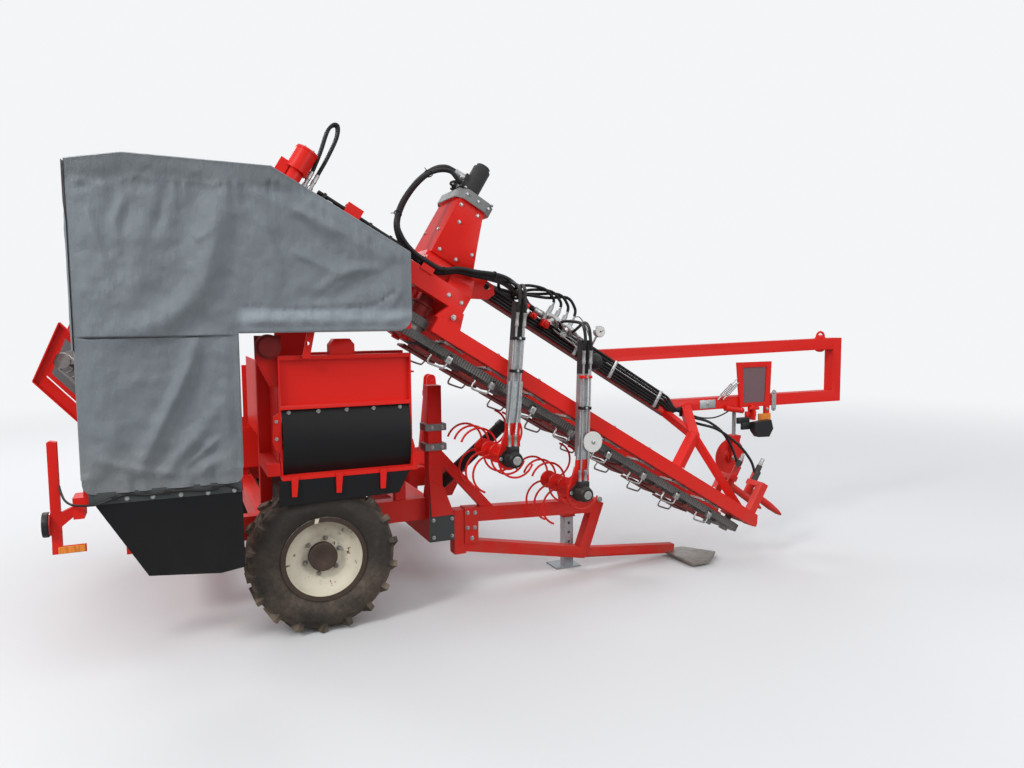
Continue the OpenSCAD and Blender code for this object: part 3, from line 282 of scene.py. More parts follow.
def dusty(name, color, rough, amount, low, dust=DUST, worn=None):
    """Paint or rubber with dust on what faces up and low down, fine unevenness and small chips."""
    material, t, shader = new_material(name, color, rough)
    patches = t.noise(5.0, 6.0, 0.65)
    fine = t.noise(60.0, 3.0, 0.6)
    upward = t.math("MAXIMUM", t.axis(t.add("NewGeometry", output="Normal"), "Z"), 0.0)
    cover = t.plus(t.times(upward, amount), t.times(t.low_down(0.75, 0.1), low))
    cover = t.times(cover, t.ramp(patches, (0.38, 0.15), (0.68, 1.0)))
    cover = t.times(cover, t.ramp(fine, (0.35, 0.55), (0.7, 1.0)))
    base = t.mix(patches, color, scaled(color, 0.88))
    if worn:
        chips = t.times(t.ramp(patches, (0.56, 0.0), (0.64, 1.0)),
                        t.ramp(t.noise(75.0, 5.0, 0.6), (0.66, 0.0), (0.69, 0.8)))
        base = t.mix(chips, base, worn)
    t.feed(shader["Base Color"], t.mix(cover, base, dust))
    t.feed(shader["Roughness"], t.span(cover, 0.0, 1.0, rough, 0.9))
    t.feed(shader["Specular IOR Level"], 0.22)
    t.feed(shader["Normal"], t.bump(fine, 0.12, 0.0006))
    return material


def steel(name, color, rough, scale=90.0):
    """Bare or galvanised steel with a mottled finish."""
    material, t, shader = new_material(name, color, rough, 0.85)
    spangle = t.noise(scale, 2.0, 0.5)
    stain = t.noise(7.0, 5.0, 0.6)
    shade = t.ramp(spangle, (0.35, scaled(color, 0.78)), (0.65, color))
    t.feed(shader["Base Color"], t.mix(t.ramp(stain, (0.5, 0.0), (0.78, 0.45)), shade, (0.17, 0.13, 0.10)))
    t.feed(shader["Roughness"], t.ramp(stain, (0.3, rough), (0.8, min(1.0, rough + 0.3))))
    t.feed(shader["Normal"], t.bump(spangle, 0.1, 0.0005))
    return material


def rim_paint():
    """Worn cream paint with chips, rust and mud."""
    cream, rust, mud = (0.60, 0.55, 0.43), (0.13, 0.055, 0.03), (0.16, 0.115, 0.08)
    material, t, shader = new_material("cream_rim", cream, 0.55)
    flakes = t.noise(26.0, 8.0, 0.7)
    base = t.mix(t.ramp(t.noise(6.0, 5.0, 0.6), (0.48, 0.0), (0.8, 0.5)), cream, mud)
    t.feed(shader["Base Color"], t.mix(t.ramp(flakes, (0.62, 0.0), (0.65, 1.0)), base, rust))
    t.feed(shader["Normal"], t.bump(flakes, 0.25, 0.0008))
    return material


def rusty_bead():
    """Outer edge of the rim, rusted through its paint in patches."""
    cream, rust = (0.44, 0.40, 0.32), (0.13, 0.075, 0.05)
    material, t, shader = new_material("rusty_bead", rust, 0.75)
    flakes = t.noise(9.0, 7.0, 0.65)
    t.feed(shader["Base Color"], t.ramp(flakes, (0.42, rust), (0.54, cream)))
    t.feed(shader["Normal"], t.bump(flakes, 0.3, 0.0008))
    return material


def muddy_tyre():
    """Dusty rubber with dried mud on its lugs."""
    material = dusty("tyre_rubber", (0.030, 0.027, 0.025), 0.85, 0.6, 1.0, (0.15, 0.115, 0.085))
    t = Nodes(material.node_tree)
    color = t.tree.nodes["Principled BSDF"].inputs["Base Color"]
    off = t.add("VectorMath", {0: t.place(), 1: (ORIGIN.x, 0.0, WHEEL_Z)}, operation="SUBTRACT")
    off = t.add("VectorMath", {0: off, 1: (1.0, 0.0, 1.0)}, operation="MULTIPLY")
    radius = t.add("VectorMath", {0: off}, "Value", operation="LENGTH")
    mud = t.times(t.between(radius, 0.325, 0.372), t.ramp(t.noise(13.0, 5.0, 0.6), (0.40, 0.0), (0.62, 0.75)))
    t.feed(color, t.mix(mud, color.links[0].from_socket, (0.23, 0.175, 0.125)))
    return material


def tarpaulin():
    """Grey coated cloth: crumpled, with painted shade along its top, painted highlights along its creases,
    and paler in the hem.
    """
    grey = (0.158, 0.180, 0.196)
    material, t, shader = new_material("tarpaulin", grey, 0.45)
    t.feed(shader["Sheen Weight"], 0.12)
    height = t.axis(t.place(), "Z")
    along = t.math("SUBTRACT", t.axis(t.place(), "X"), ORIGIN.x)
    cloud = t.noise(2.2, 5.0, 0.6)
    crease = t.noise(9.0, 8.0, 0.72, (1.0, 1.0, 0.45))
    streak = t.noise(16.0, 6.0, 0.7, (2.2, 1.0, 0.35))
    weave = t.noise(420.0, 1.0, 0.5)
    broad = t.noise(4.2, 3.0, 0.5, (1.0, 1.0, 0.6))
    # painted shade: the strip along the top is darkened where the cloth leans in under the rail
    painted_shade_band = t.times(t.between(t.plus(height, t.times(streak, 0.09)), 2.18, 2.245), 0.75)
    hem = t.times(t.times(t.between(height, 1.640, 1.595), t.between(along, -0.40, -0.34)), 0.60)
    mud = t.times(t.low_down(1.15, 0.8), t.ramp(cloud, (0.4, 0.0), (0.7, 0.5)))
    color = t.ramp(cloud, (0.35, scaled(grey, 0.93)), (0.7, scaled(grey, 1.08)))
    # painted highlight: the cloth is lightened along its crease ridges; then the top band's painted shade,
    # the paler hem and the mud low down
    for share, other in ((t.ramp(crease, (0.58, 0.0), (0.74, 0.22)), scaled(grey, 1.75)),
                         (painted_shade_band, scaled(grey, 0.50)), (hem, scaled(grey, 1.95)), (mud, (0.20, 0.18, 0.155))):
        color = t.mix(share, color, other)
    t.feed(shader["Base Color"], color)
    relief = crease
    for part, share in ((weave, 0.12), (streak, 0.35), (broad, 1.8)):
        relief = t.plus(relief, t.times(part, share))
    t.feed(shader["Normal"], t.bump(relief, 0.75, 0.016))
    return material


def lens(name, color):
    """Moulded lamp lens with fine ribs under a clear face."""
    material, t, shader = new_material(name, color, 0.18)
    t.feed(shader["Coat Weight"], 0.6)
    ribs = t.noise(160.0, 1.0, 0.4, (1.0, 1.0, 0.1))
    t.feed(shader["Base Color"], t.ramp(ribs, (0.4, scaled(color, 0.7)), (0.6, color)))
    t.feed(shader["Normal"], t.bump(ribs, 0.3, 0.0006))
    return material


# finish: its maker, the record's slot and what the maker takes. For dusty that is name, colour,
# roughness, dust on what faces up and dust low down
FINISHES = {
    "red": (dusty, "red_paint", "red_paint", (0.70, 0.015, 0.009), 0.36, 0.07, 0.42, DUST, CHIP),
    # painted shade: a darker copy of the red paint, for red parts that lie in shade
    "shade_red": (dusty, "red_paint", "shade_red_paint", (0.20, 0.012, 0.010), 0.5, 0.3, 0.4),
    "dark": (dusty, "dark_paint", "dark_paint", (0.020, 0.020, 0.021), 0.4, 0.25, 0.4),
    "rubber": (dusty, "black_rubber", "black_rubber", (0.008, 0.0082, 0.009), 0.46, 0.10, 0.10),
    "belt": (dusty, "black_rubber", "belt_rubber", (0.150, 0.148, 0.142), 0.7, 0.3, 0.3, (0.16, 0.13, 0.10)),
    "hose": (dusty, "hose_rubber", "hose_rubber", (0.012, 0.012, 0.013), 0.42, 0.25, 0.2),
    "tyre": (muddy_tyre, "tyre_rubber"),
    "rim": (rim_paint, "cream_rim"),
    "bead": (rusty_bead, "cream_rim"),
    "hub": (dusty, "cream_rim", "hub_rust", (0.055, 0.036, 0.028), 0.8, 0.4, 0.3),
    "steel": (steel, "worn_steel", "worn_steel", (0.34, 0.33, 0.31), 0.42),
    "bright": (steel, "worn_steel", "bright_steel", (0.50, 0.50, 0.49), 0.30),
    "blade": (steel, "worn_steel", "worn_blade", (0.42, 0.38, 0.34), 0.35, 40.0),
    "galvanised": (steel, "galvanised", "galvanised", (0.47, 0.50, 0.51), 0.45, 130.0),
    "grey": (dusty, "grey_sheet", "grey_sheet", (0.15, 0.15, 0.155), 0.45, 0.3, 0.2),
    "cast": (dusty, "dark_paint", "cast_iron", (0.20, 0.205, 0.20), 0.5, 0.25, 0.1),
    "slate": (dusty, "dark_paint", "slate_sheet", (0.055, 0.062, 0.063), 0.5, 0.2, 0.2),
    "pane": (dusty, "grey_sheet", "dusty_pane", (0.17, 0.105, 0.115), 0.3, 0.2, 0.1),
    "white": (dusty, "grey_sheet", "white_plastic", (0.66, 0.66, 0.63), 0.38, 0.15, 0.1),
    "worn_tip": (dusty, "red_paint", "worn_tip", (0.55, 0.33, 0.08), 0.55, 0.4, 0.6, (0.2, 0.12, 0.06)),
    "tarpaulin": (tarpaulin, "grey_tarpaulin"),
    "lens_red": (lens, "red_lens", "red_lens", (0.45, 0.012, 0.01)),
    "lens_amber": (lens, "red_lens", "amber_lens", (0.85, 0.24, 0.012)),
}
MATERIALS = {finish: make(*look) for finish, (make, _, *look) in FINISHES.items()}


# Mesh tools

DOUBLES = 1e-5
FLAT, SHARP, SMOOTH = math.radians(0.6), math.radians(36), 32


def add_piece(name, mesh, finish, body, stands_for=()):
    piece = link(bpy.data.objects.new(name, mesh))
    mesh.materials.clear()
    mesh.materials.append(MATERIALS[finish])
    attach(piece, body)
    if stands_for:
        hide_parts(*stands_for)
    return piece


def to_mesh(work, name, angle):
    """Mesh of the worked form, smooth but for edges sharper than an angle."""
    mesh = bpy.data.meshes.new(name)
    work.to_mesh(mesh)
    work.free()
    mesh.polygons.foreach_set("use_smooth", [True] * len(mesh.polygons))
    mesh.set_sharp_from_angle(angle=math.radians(angle))
    return mesh


def break_edges(work, edges, width, segments):
    bmesh.ops.bevel(work, geom=edges, offset=width, offset_type="OFFSET", segments=segments, profile=0.5,
                    affect="EDGES", clamp_overlap=True)


def bevelled(node, finish, width, drop=None):
    """Copy of a CAD node with its edges broken, which stands in its place; drop tells faces to leave out."""
    work = bmesh.new()
    work.from_mesh(bpy.data.objects[node].data)
    bmesh.ops.remove_doubles(work, verts=work.verts, dist=DOUBLES)
    bmesh.ops.dissolve_limit(work, angle_limit=FLAT, verts=work.verts, edges=work.edges)
    if drop:
        gone = [face for face in work.faces if drop(face.calc_center_median())]
        bmesh.ops.delete(work, geom=gone, context="FACES")
    if width:
        break_edges(work, [e for e in work.edges if len(e.link_faces) == 2 and e.calc_face_angle(0) > SHARP],
                    width, 1)
    name = node + "_looks"
    return add_piece(name, to_mesh(work, name, SMOOTH), finish, BODY_OF[node], (node,))


def repaint(piece, finish, inside):
    """Give another finish to the faces whose middle is inside."""
    mesh = piece.data
    mesh.materials.append(MATERIALS[finish])
    index = len(mesh.materials) - 1
    for face in mesh.polygons:
        if inside(face.center):
            face.material_index = index


def machine_box(low, high):
    """Test for points in a box of the machine's frame."""
    return lambda point: all(a <= v <= b for a, v, b in zip(low, to_machine(point), high))


def slope_box(low, high):
    """Test for points in a box along the belts."""
    return lambda point: all(a <= v <= b for a, v, b in zip(low, to_slope(point), high))


class Kit:
    """Gathers lathed, swept and boxed forms into one mesh."""

    def __init__(self):
        self.work = bmesh.new()

    def skin(self, rings):
        steps = len(rings[0])
        for a, b in zip(rings, rings[1:]):
            for k in range(steps):
                self.work.faces.new((a[k], a[(k + 1) % steps], b[(k + 1) % steps], b[k]))
        self.work.faces.new(rings[0][::-1])
        self.work.faces.new(rings[-1])

    def lathe(self, place, along, profile, steps=20):
        """Round form on an axis; profile is (radius, distance along the axis)."""
        turn = Matrix.Translation(place) @ Vector(along).to_track_quat("Z", "Y").to_matrix().to_4x4()
        self.skin([[self.work.verts.new(turn @ Vector((r * math.cos(math.tau * k / steps),
                                                        r * math.sin(math.tau * k / steps), h)))
                    for k in range(steps)] for r, h in profile])

    def tube(self, points, radius, steps=10):
        last = len(points) - 1
        side = (points[1] - points[0]).orthogonal().normalized()
        rings = []
        for i, point in enumerate(points):
            ahead = (points[min(i + 1, last)] - points[max(i - 1, 0)]).normalized()
            side = (side - ahead * side.dot(ahead)).normalized()
            up = ahead.cross(side)
            rings.append([self.work.verts.new(point + radius * (side * math.cos(math.tau * k / steps)
                                                                + up * math.sin(math.tau * k / steps)))
                          for k in range(steps)])
        self.skin(rings)

    def hose(self, points, bends, radius, steps=8, to=up_slope):
        """Tube on a smooth curve through points, with so many steps from one to the next."""
        self.tube(smooth_route([to(*point) for point in points], bends), radius, steps)

    def box(self, low, high, to=at, rounded=0.0015):
        corners = [self.work.verts.new(to(x, y, z)) for z in (low[2], high[2])
                   for x, y in ((low[0], low[1]), (high[0], low[1]), (high[0], high[1]), (low[0], high[1]))]
        faces = [self.work.faces.new([corners[k] for k in four]) for four in
                 ((3, 2, 1, 0), (4, 5, 6, 7), (0, 1, 5, 4), (1, 2, 6, 5), (2, 3, 7, 6), (3, 0, 4, 7))]
        bmesh.ops.recalc_face_normals(self.work, faces=faces)
        break_edges(self.work, list({e for f in faces for e in f.edges}), rounded, 2)

    def bolt(self, place, along, size):
        """Washer and hexagon head of a bolt that looks along an axis."""
        along = Vector(along).normalized()
        self.lathe(place, along, [(size * 1.25, 0), (size * 1.25, size * 0.18), (size * 1.1, size * 0.26)])
        self.lathe(place + along * size * 0.26, along,
                   [(size, 0), (size, size * 0.6), (size * 0.86, size * 0.8)], 6)

    def near_bolts(self, y, size, places):
        """Bolts that look to the near side; places are (x, z)."""
        for x, z in places:
            self.bolt(at(x, y, z), NEAR, size)

    def done(self, name, finish, body=ELEMENT, stands_for=(), angle=35):
        bmesh.ops.recalc_face_normals(self.work, faces=self.work.faces)
        return add_piece(name, to_mesh(self.work, name, angle), finish, body, stands_for)


# Free hoses. Their routes repeat the ones in the part's source: s down the belts, y from the row
# and n above the belt plane

DRIVE_HOSE = [
    (0.4397, 0.050, 0.910), (0.410, 0.050, 0.910), (0.380, 0.050, 0.910), (0.320, 0.030, 0.890),
    (0.262, -0.020, 0.820), (0.214, -0.070, 0.700), (0.196, -0.110, 0.560), (0.214, -0.150, 0.440),
    (0.280, -0.165, 0.368), (0.350, -0.165, 0.342), (0.440, -0.165, 0.339), (0.520, -0.172, 0.344),
    (0.600, -0.174, 0.398), (0.690, -0.174, 0.432), (0.800, -0.120, 0.480), (0.920, -0.010, 0.530),
    (1.060, 0.120, 0.556), (1.160, 0.190, 0.556), (1.220, 0.215, 0.556), (1.260, 0.215, 0.556),
    (1.2997, 0.215, 0.556),
]
SECOND_HOSE = [
    (0.4045, -0.105, 0.822), (0.375, -0.103, 0.835), (0.330, -0.085, 0.850), (0.272, -0.065, 0.815),
    (0.214, -0.095, 0.715), (0.186, -0.132, 0.570), (0.198, -0.176, 0.452), (0.262, -0.197, 0.384),
    (0.350, -0.199, 0.352), (0.440, -0.198, 0.350), (0.520, -0.203, 0.356), (0.600, -0.204, 0.410),
    (0.690, -0.198, 0.447), (0.800, -0.138, 0.505), (0.920, -0.022, 0.558), (1.060, 0.128, 0.590),
    (1.150, 0.212, 0.585), (1.220, 0.250, 0.568), (1.260, 0.252, 0.565), (1.2997, 0.252, 0.565),
]
REAR_LOOP = [
    (-0.252, 0.3983), (-0.252, 0.420), (-0.252, 0.450), (-0.266, 0.550), (-0.287, 0.655), (-0.279, 0.700),
    (-0.256, 0.704), (-0.234, 0.650), (-0.224, 0.540), (-0.222, 0.450), (-0.222, 0.420), (-0.222, 0.3983),
]
REAR_HOSE_Y = {"rear_hose_near": -0.076, "rear_hose_far": -0.046}
TIE_SHARES = (0.22, 0.33, 0.56, 0.70)


def make_ties():
    """Cable ties that hold the second hose to the first."""
    ties = []
    first = smooth_route([up_slope(*p) for p in DRIVE_HOSE], 8)
    second = smooth_route([up_slope(*p) for p in SECOND_HOSE], 8)
    for number, share in enumerate(TIE_SHARES):
        spot = int(share * len(first))
        a = first[spot]
        b = min(second, key=lambda p: (p - a).length)
        middle, reach = (a + b) / 2, (b - a)
        along = (first[spot + 1] - a).normalized()
        side = (reach - along * reach.dot(along)).normalized()
        up = along.cross(side)
        half = reach.length / 2
        kit = Kit()
        kit.tube([middle + side * ((half + 0.015) * math.cos(turn)) + up * (0.0185 * math.sin(turn))
                  for turn in [math.tau * k / 20 for k in range(21)]], 0.0028, 6)
        kit.tube([middle + up * 0.018, middle + up * 0.036 + along * 0.004], 0.0022, 6)
        ties.append(kit.done("hose_tie_%d" % number, "dark"))
    return ties


def make_cord(node, points, radius, pieces=()):
    points = smooth_route([up_slope(*p) for p in points], 6)
    data = bpy.data.curves.new(node + "_cord", "CURVE")
    data.dimensions = "3D"
    data.bevel_depth = radius
    data.bevel_resolution = 5
    data.use_fill_caps = True
    spline = data.splines.new("POLY")
    spline.points.add(len(points) - 1)
    for target, point in zip(spline.points, points):
        target.co = (*point, 1)
    cord = link(bpy.data.objects.new(node + "_cord", data))
    data.materials.append(MATERIALS["hose"])
    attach(cord, ELEMENT)
    if node in BODY_OF:
        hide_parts(node)


def make_cords():
    make_cord("drive_hose", DRIVE_HOSE, 0.017)
    make_cord("second_hose", SECOND_HOSE, 0.012, make_ties())
    for node, y in REAR_HOSE_Y.items():
        make_cord(node, [(s, y, n) for s, n in REAR_LOOP], 0.009)


# Cloth

CURTAIN_Y = -1.3285
CURTAIN = [(-1.030, 0.840), (-0.380, 0.832), (-0.380, 1.520), (0.390, 1.520), (0.440, 1.570), (0.440, 1.900),
           (-0.210, 2.270), (-0.820, 2.285), (-1.030, 2.245)]
# Folds: line of (x, z) points, height and width
FOLDS = [
    ([(-0.407, 2.18), (-0.441, 2.04), (-0.486, 1.865), (-0.53, 1.723), (-0.618, 1.622), (-0.731, 1.552),
      (-0.831, 1.514)], 0.026, 0.055),
    ([(-0.523, 2.14), (-0.566, 2.03), (-0.61, 1.92)], -0.012, 0.045),
    ([(-0.566, 1.982), (-0.531, 1.934), (-0.482, 1.966)], 0.007, 0.018),
    ([(-0.70, 2.15), (-0.74, 1.95), (-0.80, 1.70), (-0.88, 1.55)], 0.012, 0.060),
    ([(-0.558, 1.489), (-0.591, 1.378), (-0.643, 1.257), (-0.703, 1.138), (-0.763, 1.02), (-0.814, 0.912)],
     0.022, 0.026),
    ([(-0.50, 1.45), (-0.54, 1.33), (-0.59, 1.20), (-0.65, 1.08)], -0.010, 0.030),
    ([(-0.474, 1.197), (-0.546, 1.087), (-0.625, 0.999), (-0.694, 0.912), (-0.734, 0.854)], 0.013, 0.028),
    ([(-0.454, 0.954), (-0.533, 0.918), (-0.612, 0.863)], 0.009, 0.024),
    ([(-0.291, 2.177), (-0.265, 2.046), (-0.23, 1.923), (-0.203, 1.809), (-0.186, 1.705)], 0.015, 0.040),
    ([(-0.139, 1.895), (-0.057, 1.854), (0.048, 1.803)], 0.009, 0.016),
    ([(-0.019, 1.706), (0.069, 1.782), (0.179, 1.816), (0.314, 1.819)], 0.010, 0.024),
    ([(-0.094, 1.673), (0.066, 1.684), (0.177, 1.729), (0.36, 1.84)], -0.008, 0.028),
    ([(-0.852, 2.02), (-0.846, 1.942)], 0.005, 0.014),
    ([(-0.90, 1.75), (-0.86, 1.62)], 0.008, 0.030),
    ([(-0.93, 1.30), (-0.90, 1.12), (-0.93, 0.95)], 0.008, 0.040),
    ([(0.02, 2.05), (0.10, 1.93), (0.22, 1.88)], 0.008, 0.035),
    ([(-0.33, 2.16), (-0.12, 2.08), (0.10, 1.98), (0.30, 1.88)], 0.010, 0.030),
    ([(-0.20, 2.14), (-0.06, 1.99), (0.02, 1.90)], -0.009, 0.028),
    ([(-0.97, 2.10), (-0.93, 1.92), (-0.90, 1.78)], 0.010, 0.022),
    ([(-0.80, 2.12), (-0.86, 2.00), (-0.84, 1.88)], 0.009, 0.018),
    ([(-0.66, 2.14), (-0.68, 2.02), (-0.73, 1.90)], -0.008, 0.022),
    ([(0.30, 1.80), (0.37, 1.70), (0.33, 1.62)], 0.008, 0.018),
    ([(-0.47, 1.05), (-0.55, 0.98), (-0.62, 0.93)], 0.008, 0.012),
    ([(-0.96, 0.98), (-0.80, 0.92), (-0.66, 0.90)], 0.009, 0.020),
    ([(-0.44, 1.35), (-0.45, 1.20), (-0.43, 1.05)], 0.007, 0.018),
]
# lower edge of the band along the top, and the seam of the hem: (x, z) points
TOP_BAND = [(-1.03, 2.160), (-0.88, 2.151), (-0.774, 2.186), (-0.483, 2.175), (-0.279, 2.200),
            (-0.168, 2.215), (0.44, 1.870)]
HEM_SEAM = [(-0.348, 1.632), (-0.147, 1.622), (0.065, 1.626), (0.25, 1.640), (0.34, 1.70)]
FOLD_GAIN = 1.65
CREASE_Z = 1.504
HEM_TOP = 1.632
FREE_HEM_Z = 0.92
# the sheet hangs lower behind this line
DROP_X = -0.37
STEP = 0.0125
COLUMNS, DROP_COLUMNS = 118, 52
LOW_EDGE, SHORT_EDGE = 0.832, 1.520
# rounded corners: x, z, radius and the side that the cloth lies on
CORNERS = [(-1.030, LOW_EDGE, 0.05, 1), (-0.380, LOW_EDGE, 0.035, -1), (0.440, SHORT_EDGE, 0.07, -1)]
# edges of cloth that bend more than this many degrees are drawn sharp
CLOTH_SHARP = 60


def off_line(x, z, line):
    """Distance from a line of points, and how far along it lies from 0 to 1."""
    best = (9.0, 0.0)
    total = sum(math.dist(a, b) for a, b in zip(line, line[1:]))
    gone = 0.0
    for (ax, az), (bx, bz) in zip(line, line[1:]):
        dx, dz = bx - ax, bz - az
        length = math.hypot(dx, dz)
        t = max(0.0, min(1.0, ((x - ax) * dx + (z - az) * dz) / length ** 2))
        away = math.hypot(x - ax - t * dx, z - az - t * dz)
        if away < best[0]:
            best = (away, (gone + t * length) / total)
        gone += length
    return best


def ease(value):
    value = max(0.0, min(1.0, value))
    return value * value * (3 - 2 * value)


def line_height(line, x):
    for (ax, az), (bx, bz) in zip(line, line[1:]):
        if ax <= x <= bx:
            return az + (bz - az) * (x - ax) / (bx - ax)
    return line[0][1] if x < line[0][0] else line[-1][1]


def curtain_bulge(x, z, border):
    """How far the cloth stands out of its flat place."""
    rise = 0.012
    for line, height, width in FOLDS:
        away, along = off_line(x, z, line)
        swell = math.sin(math.pi * (0.12 + 0.76 * along))
        rise += FOLD_GAIN * height * math.exp(-(away / width) ** 2) * swell
    if x < DROP_X:
        gap = z - CREASE_Z
        rise -= 0.010 * math.exp(-(gap / 0.0032) ** 2)
        rise += 0.007 * math.exp(-abs(gap) / 0.05) * (1.0 if gap > 0 else -0.6)
    below = line_height(TOP_BAND, x) - z
    if below > 0:
        fall = math.exp(-below / 0.075)
        rise += 0.0065 * fall * math.sin(x * 88 + 2.2 * math.sin(x * 31)) + 0.008 * math.exp(-below / 0.03)
    else:
        rise += 0.008 * math.exp(below / 0.012)
    away = off_line(x, z, HEM_SEAM)[0]
    rise -= 0.007 * math.exp(-(away / 0.008) ** 2)
    rise += 0.005 * math.exp(-away / 0.022) * math.sin(x * 150 + 3 * math.sin(x * 40))
    if x > DROP_X and z < HEM_TOP:
        roll = math.sin(math.pi * min(1.0, (HEM_TOP - z) / 0.125)) ** 2 * ease((x + 0.39) / 0.12)
        rise += roll * (0.011 + 0.010 * noise.noise(Vector((x * 7, 9.0, z * 3))) + 0.004 * math.sin(x * 60))
    if x < DROP_X and z < 1.0:
        rise += 0.010 * ease((1.0 - z) / 0.14) * math.sin(x * 55 + 1.5 * math.sin(x * 23))
    rise += 0.014 * noise.noise(Vector((x * 2.3, 4.0, z * 1.7)))
    rise += 0.009 * noise.fractal(Vector((x * 10, 1.0, z * 8)), 0.9, 2.1, 4)
    held = ease(border / 0.055)
    if z < FREE_HEM_Z and x < DROP_X:
        held = max(held, 0.8)
    return max(0.001, rise * held)


def rim_directions(edges):
    """For each vertex of the border, the direction out of the sheet."""
    rim = {}
    for edge in edges:
        a, b = edge.verts
        normal = Vector((b.co.z - a.co.z, 0, a.co.x - b.co.x)).normalized()
        if (edge.link_faces[0].calc_center_median() - a.co).dot(normal) > 0:
            normal.negate()
        for v in (a, b):
            rim[v] = rim.get(v, Vector()) + normal
    return rim


def new_of(kind, result):
    """What an operator made, of one kind."""
    return [thing for thing in result["geom"] if isinstance(thing, kind)]


def spot(vertex):
    return tuple(round(c, 6) for c in vertex.co)


def make_curtain():
    work = bmesh.new()
    heights = [LOW_EDGE + 0.6585 * j / 50 for j in range(51)]
    heights += [CREASE_Z + gap for gap in (-0.009, -0.006, -0.003, 0.0, 0.003, 0.006, 0.010)] + [SHORT_EDGE]
    low = len(heights) - 1
    heights += [SHORT_EDGE + j * STEP for j in range(1, 63)]
    verts = {}

    def vertex(i, j):
        if (i, j) not in verts:
            verts[i, j] = work.verts.new((CURTAIN[0][0] + i * STEP, 0.0, heights[j]))
        return verts[i, j]

    for i in range(COLUMNS):
        for j in range(len(heights) - 1):
            if i < DROP_COLUMNS or j >= low:
                work.faces.new((vertex(i, j), vertex(i + 1, j), vertex(i + 1, j + 1), vertex(i, j + 1)))
    # cut along the slanted and outer edges
    for a in (5, 6, 7, 4):
        (ax, az), (bx, bz) = CURTAIN[a], CURTAIN[a + 1]
        bmesh.ops.bisect_plane(work, geom=work.verts[:] + work.edges[:] + work.faces[:], dist=DOUBLES,
                               plane_co=(ax, 0, az), plane_no=(bz - az, 0, ax - bx), clear_outer=True)
    bmesh.ops.triangulate(work, faces=[f for f in work.faces if len(f.verts) > 4])
    for cx, cz, r, sx in CORNERS:
        mx, mz = cx + sx * r, cz + r
        for v in work.verts:
            dx, dz = (v.co.x - mx) * -sx, mz - v.co.z
            if 0 < dx <= r + 1e-4 and 0 < dz <= r + 1e-4:
                out, reach = math.hypot(dx, dz), max(dx, dz)
                v.co.x = mx - sx * dx * reach / out
                v.co.z = mz - dz * reach / out
    border = [e for e in work.edges if e.is_boundary]
    rim = rim_directions(border)
    lines = list(zip(CURTAIN, CURTAIN[1:] + CURTAIN[:1]))
    for v in work.verts:
        x, z = v.co.x, v.co.z
        v.co.y = -curtain_bulge(x, z, min(off_line(x, z, line)[0] for line in lines))
    # turn the edges round the frame, except the hanging hem
    wrap = [e for e in border if max(v.co.z for v in e.verts) > 0.90]
    outward = {spot(v): rim[v].normalized() for e in wrap for v in e.verts}
    turned = bmesh.ops.extrude_edge_only(work, edges=wrap)
    for v in new_of(bmesh.types.BMVert, turned):
        v.co += outward[spot(v)] * 0.006
        v.co.y = 0.010
    tucked = bmesh.ops.extrude_edge_only(work, edges=new_of(bmesh.types.BMEdge, turned))
    for v in new_of(bmesh.types.BMVert, tucked):
        v.co.y = 0.030
    for v in work.verts:
        v.co = at(v.co.x, CURTAIN_Y + v.co.y, v.co.z)
    bmesh.ops.recalc_face_normals(work, faces=work.faces)
    area = sum(f.calc_area() for f in work.faces)
    mesh = to_mesh(work, "curtain_cloth", CLOTH_SHARP)
    cloth = add_piece("curtain_cloth", mesh, "tarpaulin", BODY_OF["side_curtain"], ("side_curtain",))


def make_rear_flap():
    """Second sheet, across the rear of the curtain frame."""
    y0, y1, z0, z1 = -1.334, -0.812, 1.450, 2.244
    columns, rows = 40, 60
    work = bmesh.new()
    grid = []
    for i in range(columns + 1):
        y = y0 + (y1 - y0) * i / columns
        line = []
        for j in range(rows + 1):
            z = z0 + (z1 - z0) * j / rows
            free = ease((z1 - z) / 0.25) * ease((y - y0) / 0.12)
            wave = 0.012 * math.sin(y * 38 + 0.8 * math.sin(z * 5)) + 0.006 * math.sin(y * 71 + z * 3)
            wave += 0.006 * noise.fractal(Vector((y * 6, 2.0, z * 5)), 0.9, 2.1, 4)
            loose = 0.007 * ease((z - 1.98) / 0.10) * (1 - ease((y - y0) / 0.10))
            line.append(work.verts.new(at(-1.036 - max(0.0, 0.012 + wave) * free - loose, y, z)))
        grid.append(line)
    for a, b in zip(grid, grid[1:]):
        for j in range(rows):
            work.faces.new((a[j], a[j + 1], b[j + 1], b[j]))
    area = sum(f.calc_area() for f in work.faces)
    mesh = to_mesh(work, "rear_flap_cloth", CLOTH_SHARP)
    flap = add_piece("rear_flap_cloth", mesh, "tarpaulin", BODY_OF["rear_flap"], ("rear_flap",))


# (x, z) of the cutting disc's centre, and the radius from which it is bare
DISC, BLADE_FROM = (2.87, 0.60), 0.112


def off_disc(point):
    x, _, z = to_machine(point)
    return math.hypot(x - DISC[0], z - DISC[1])


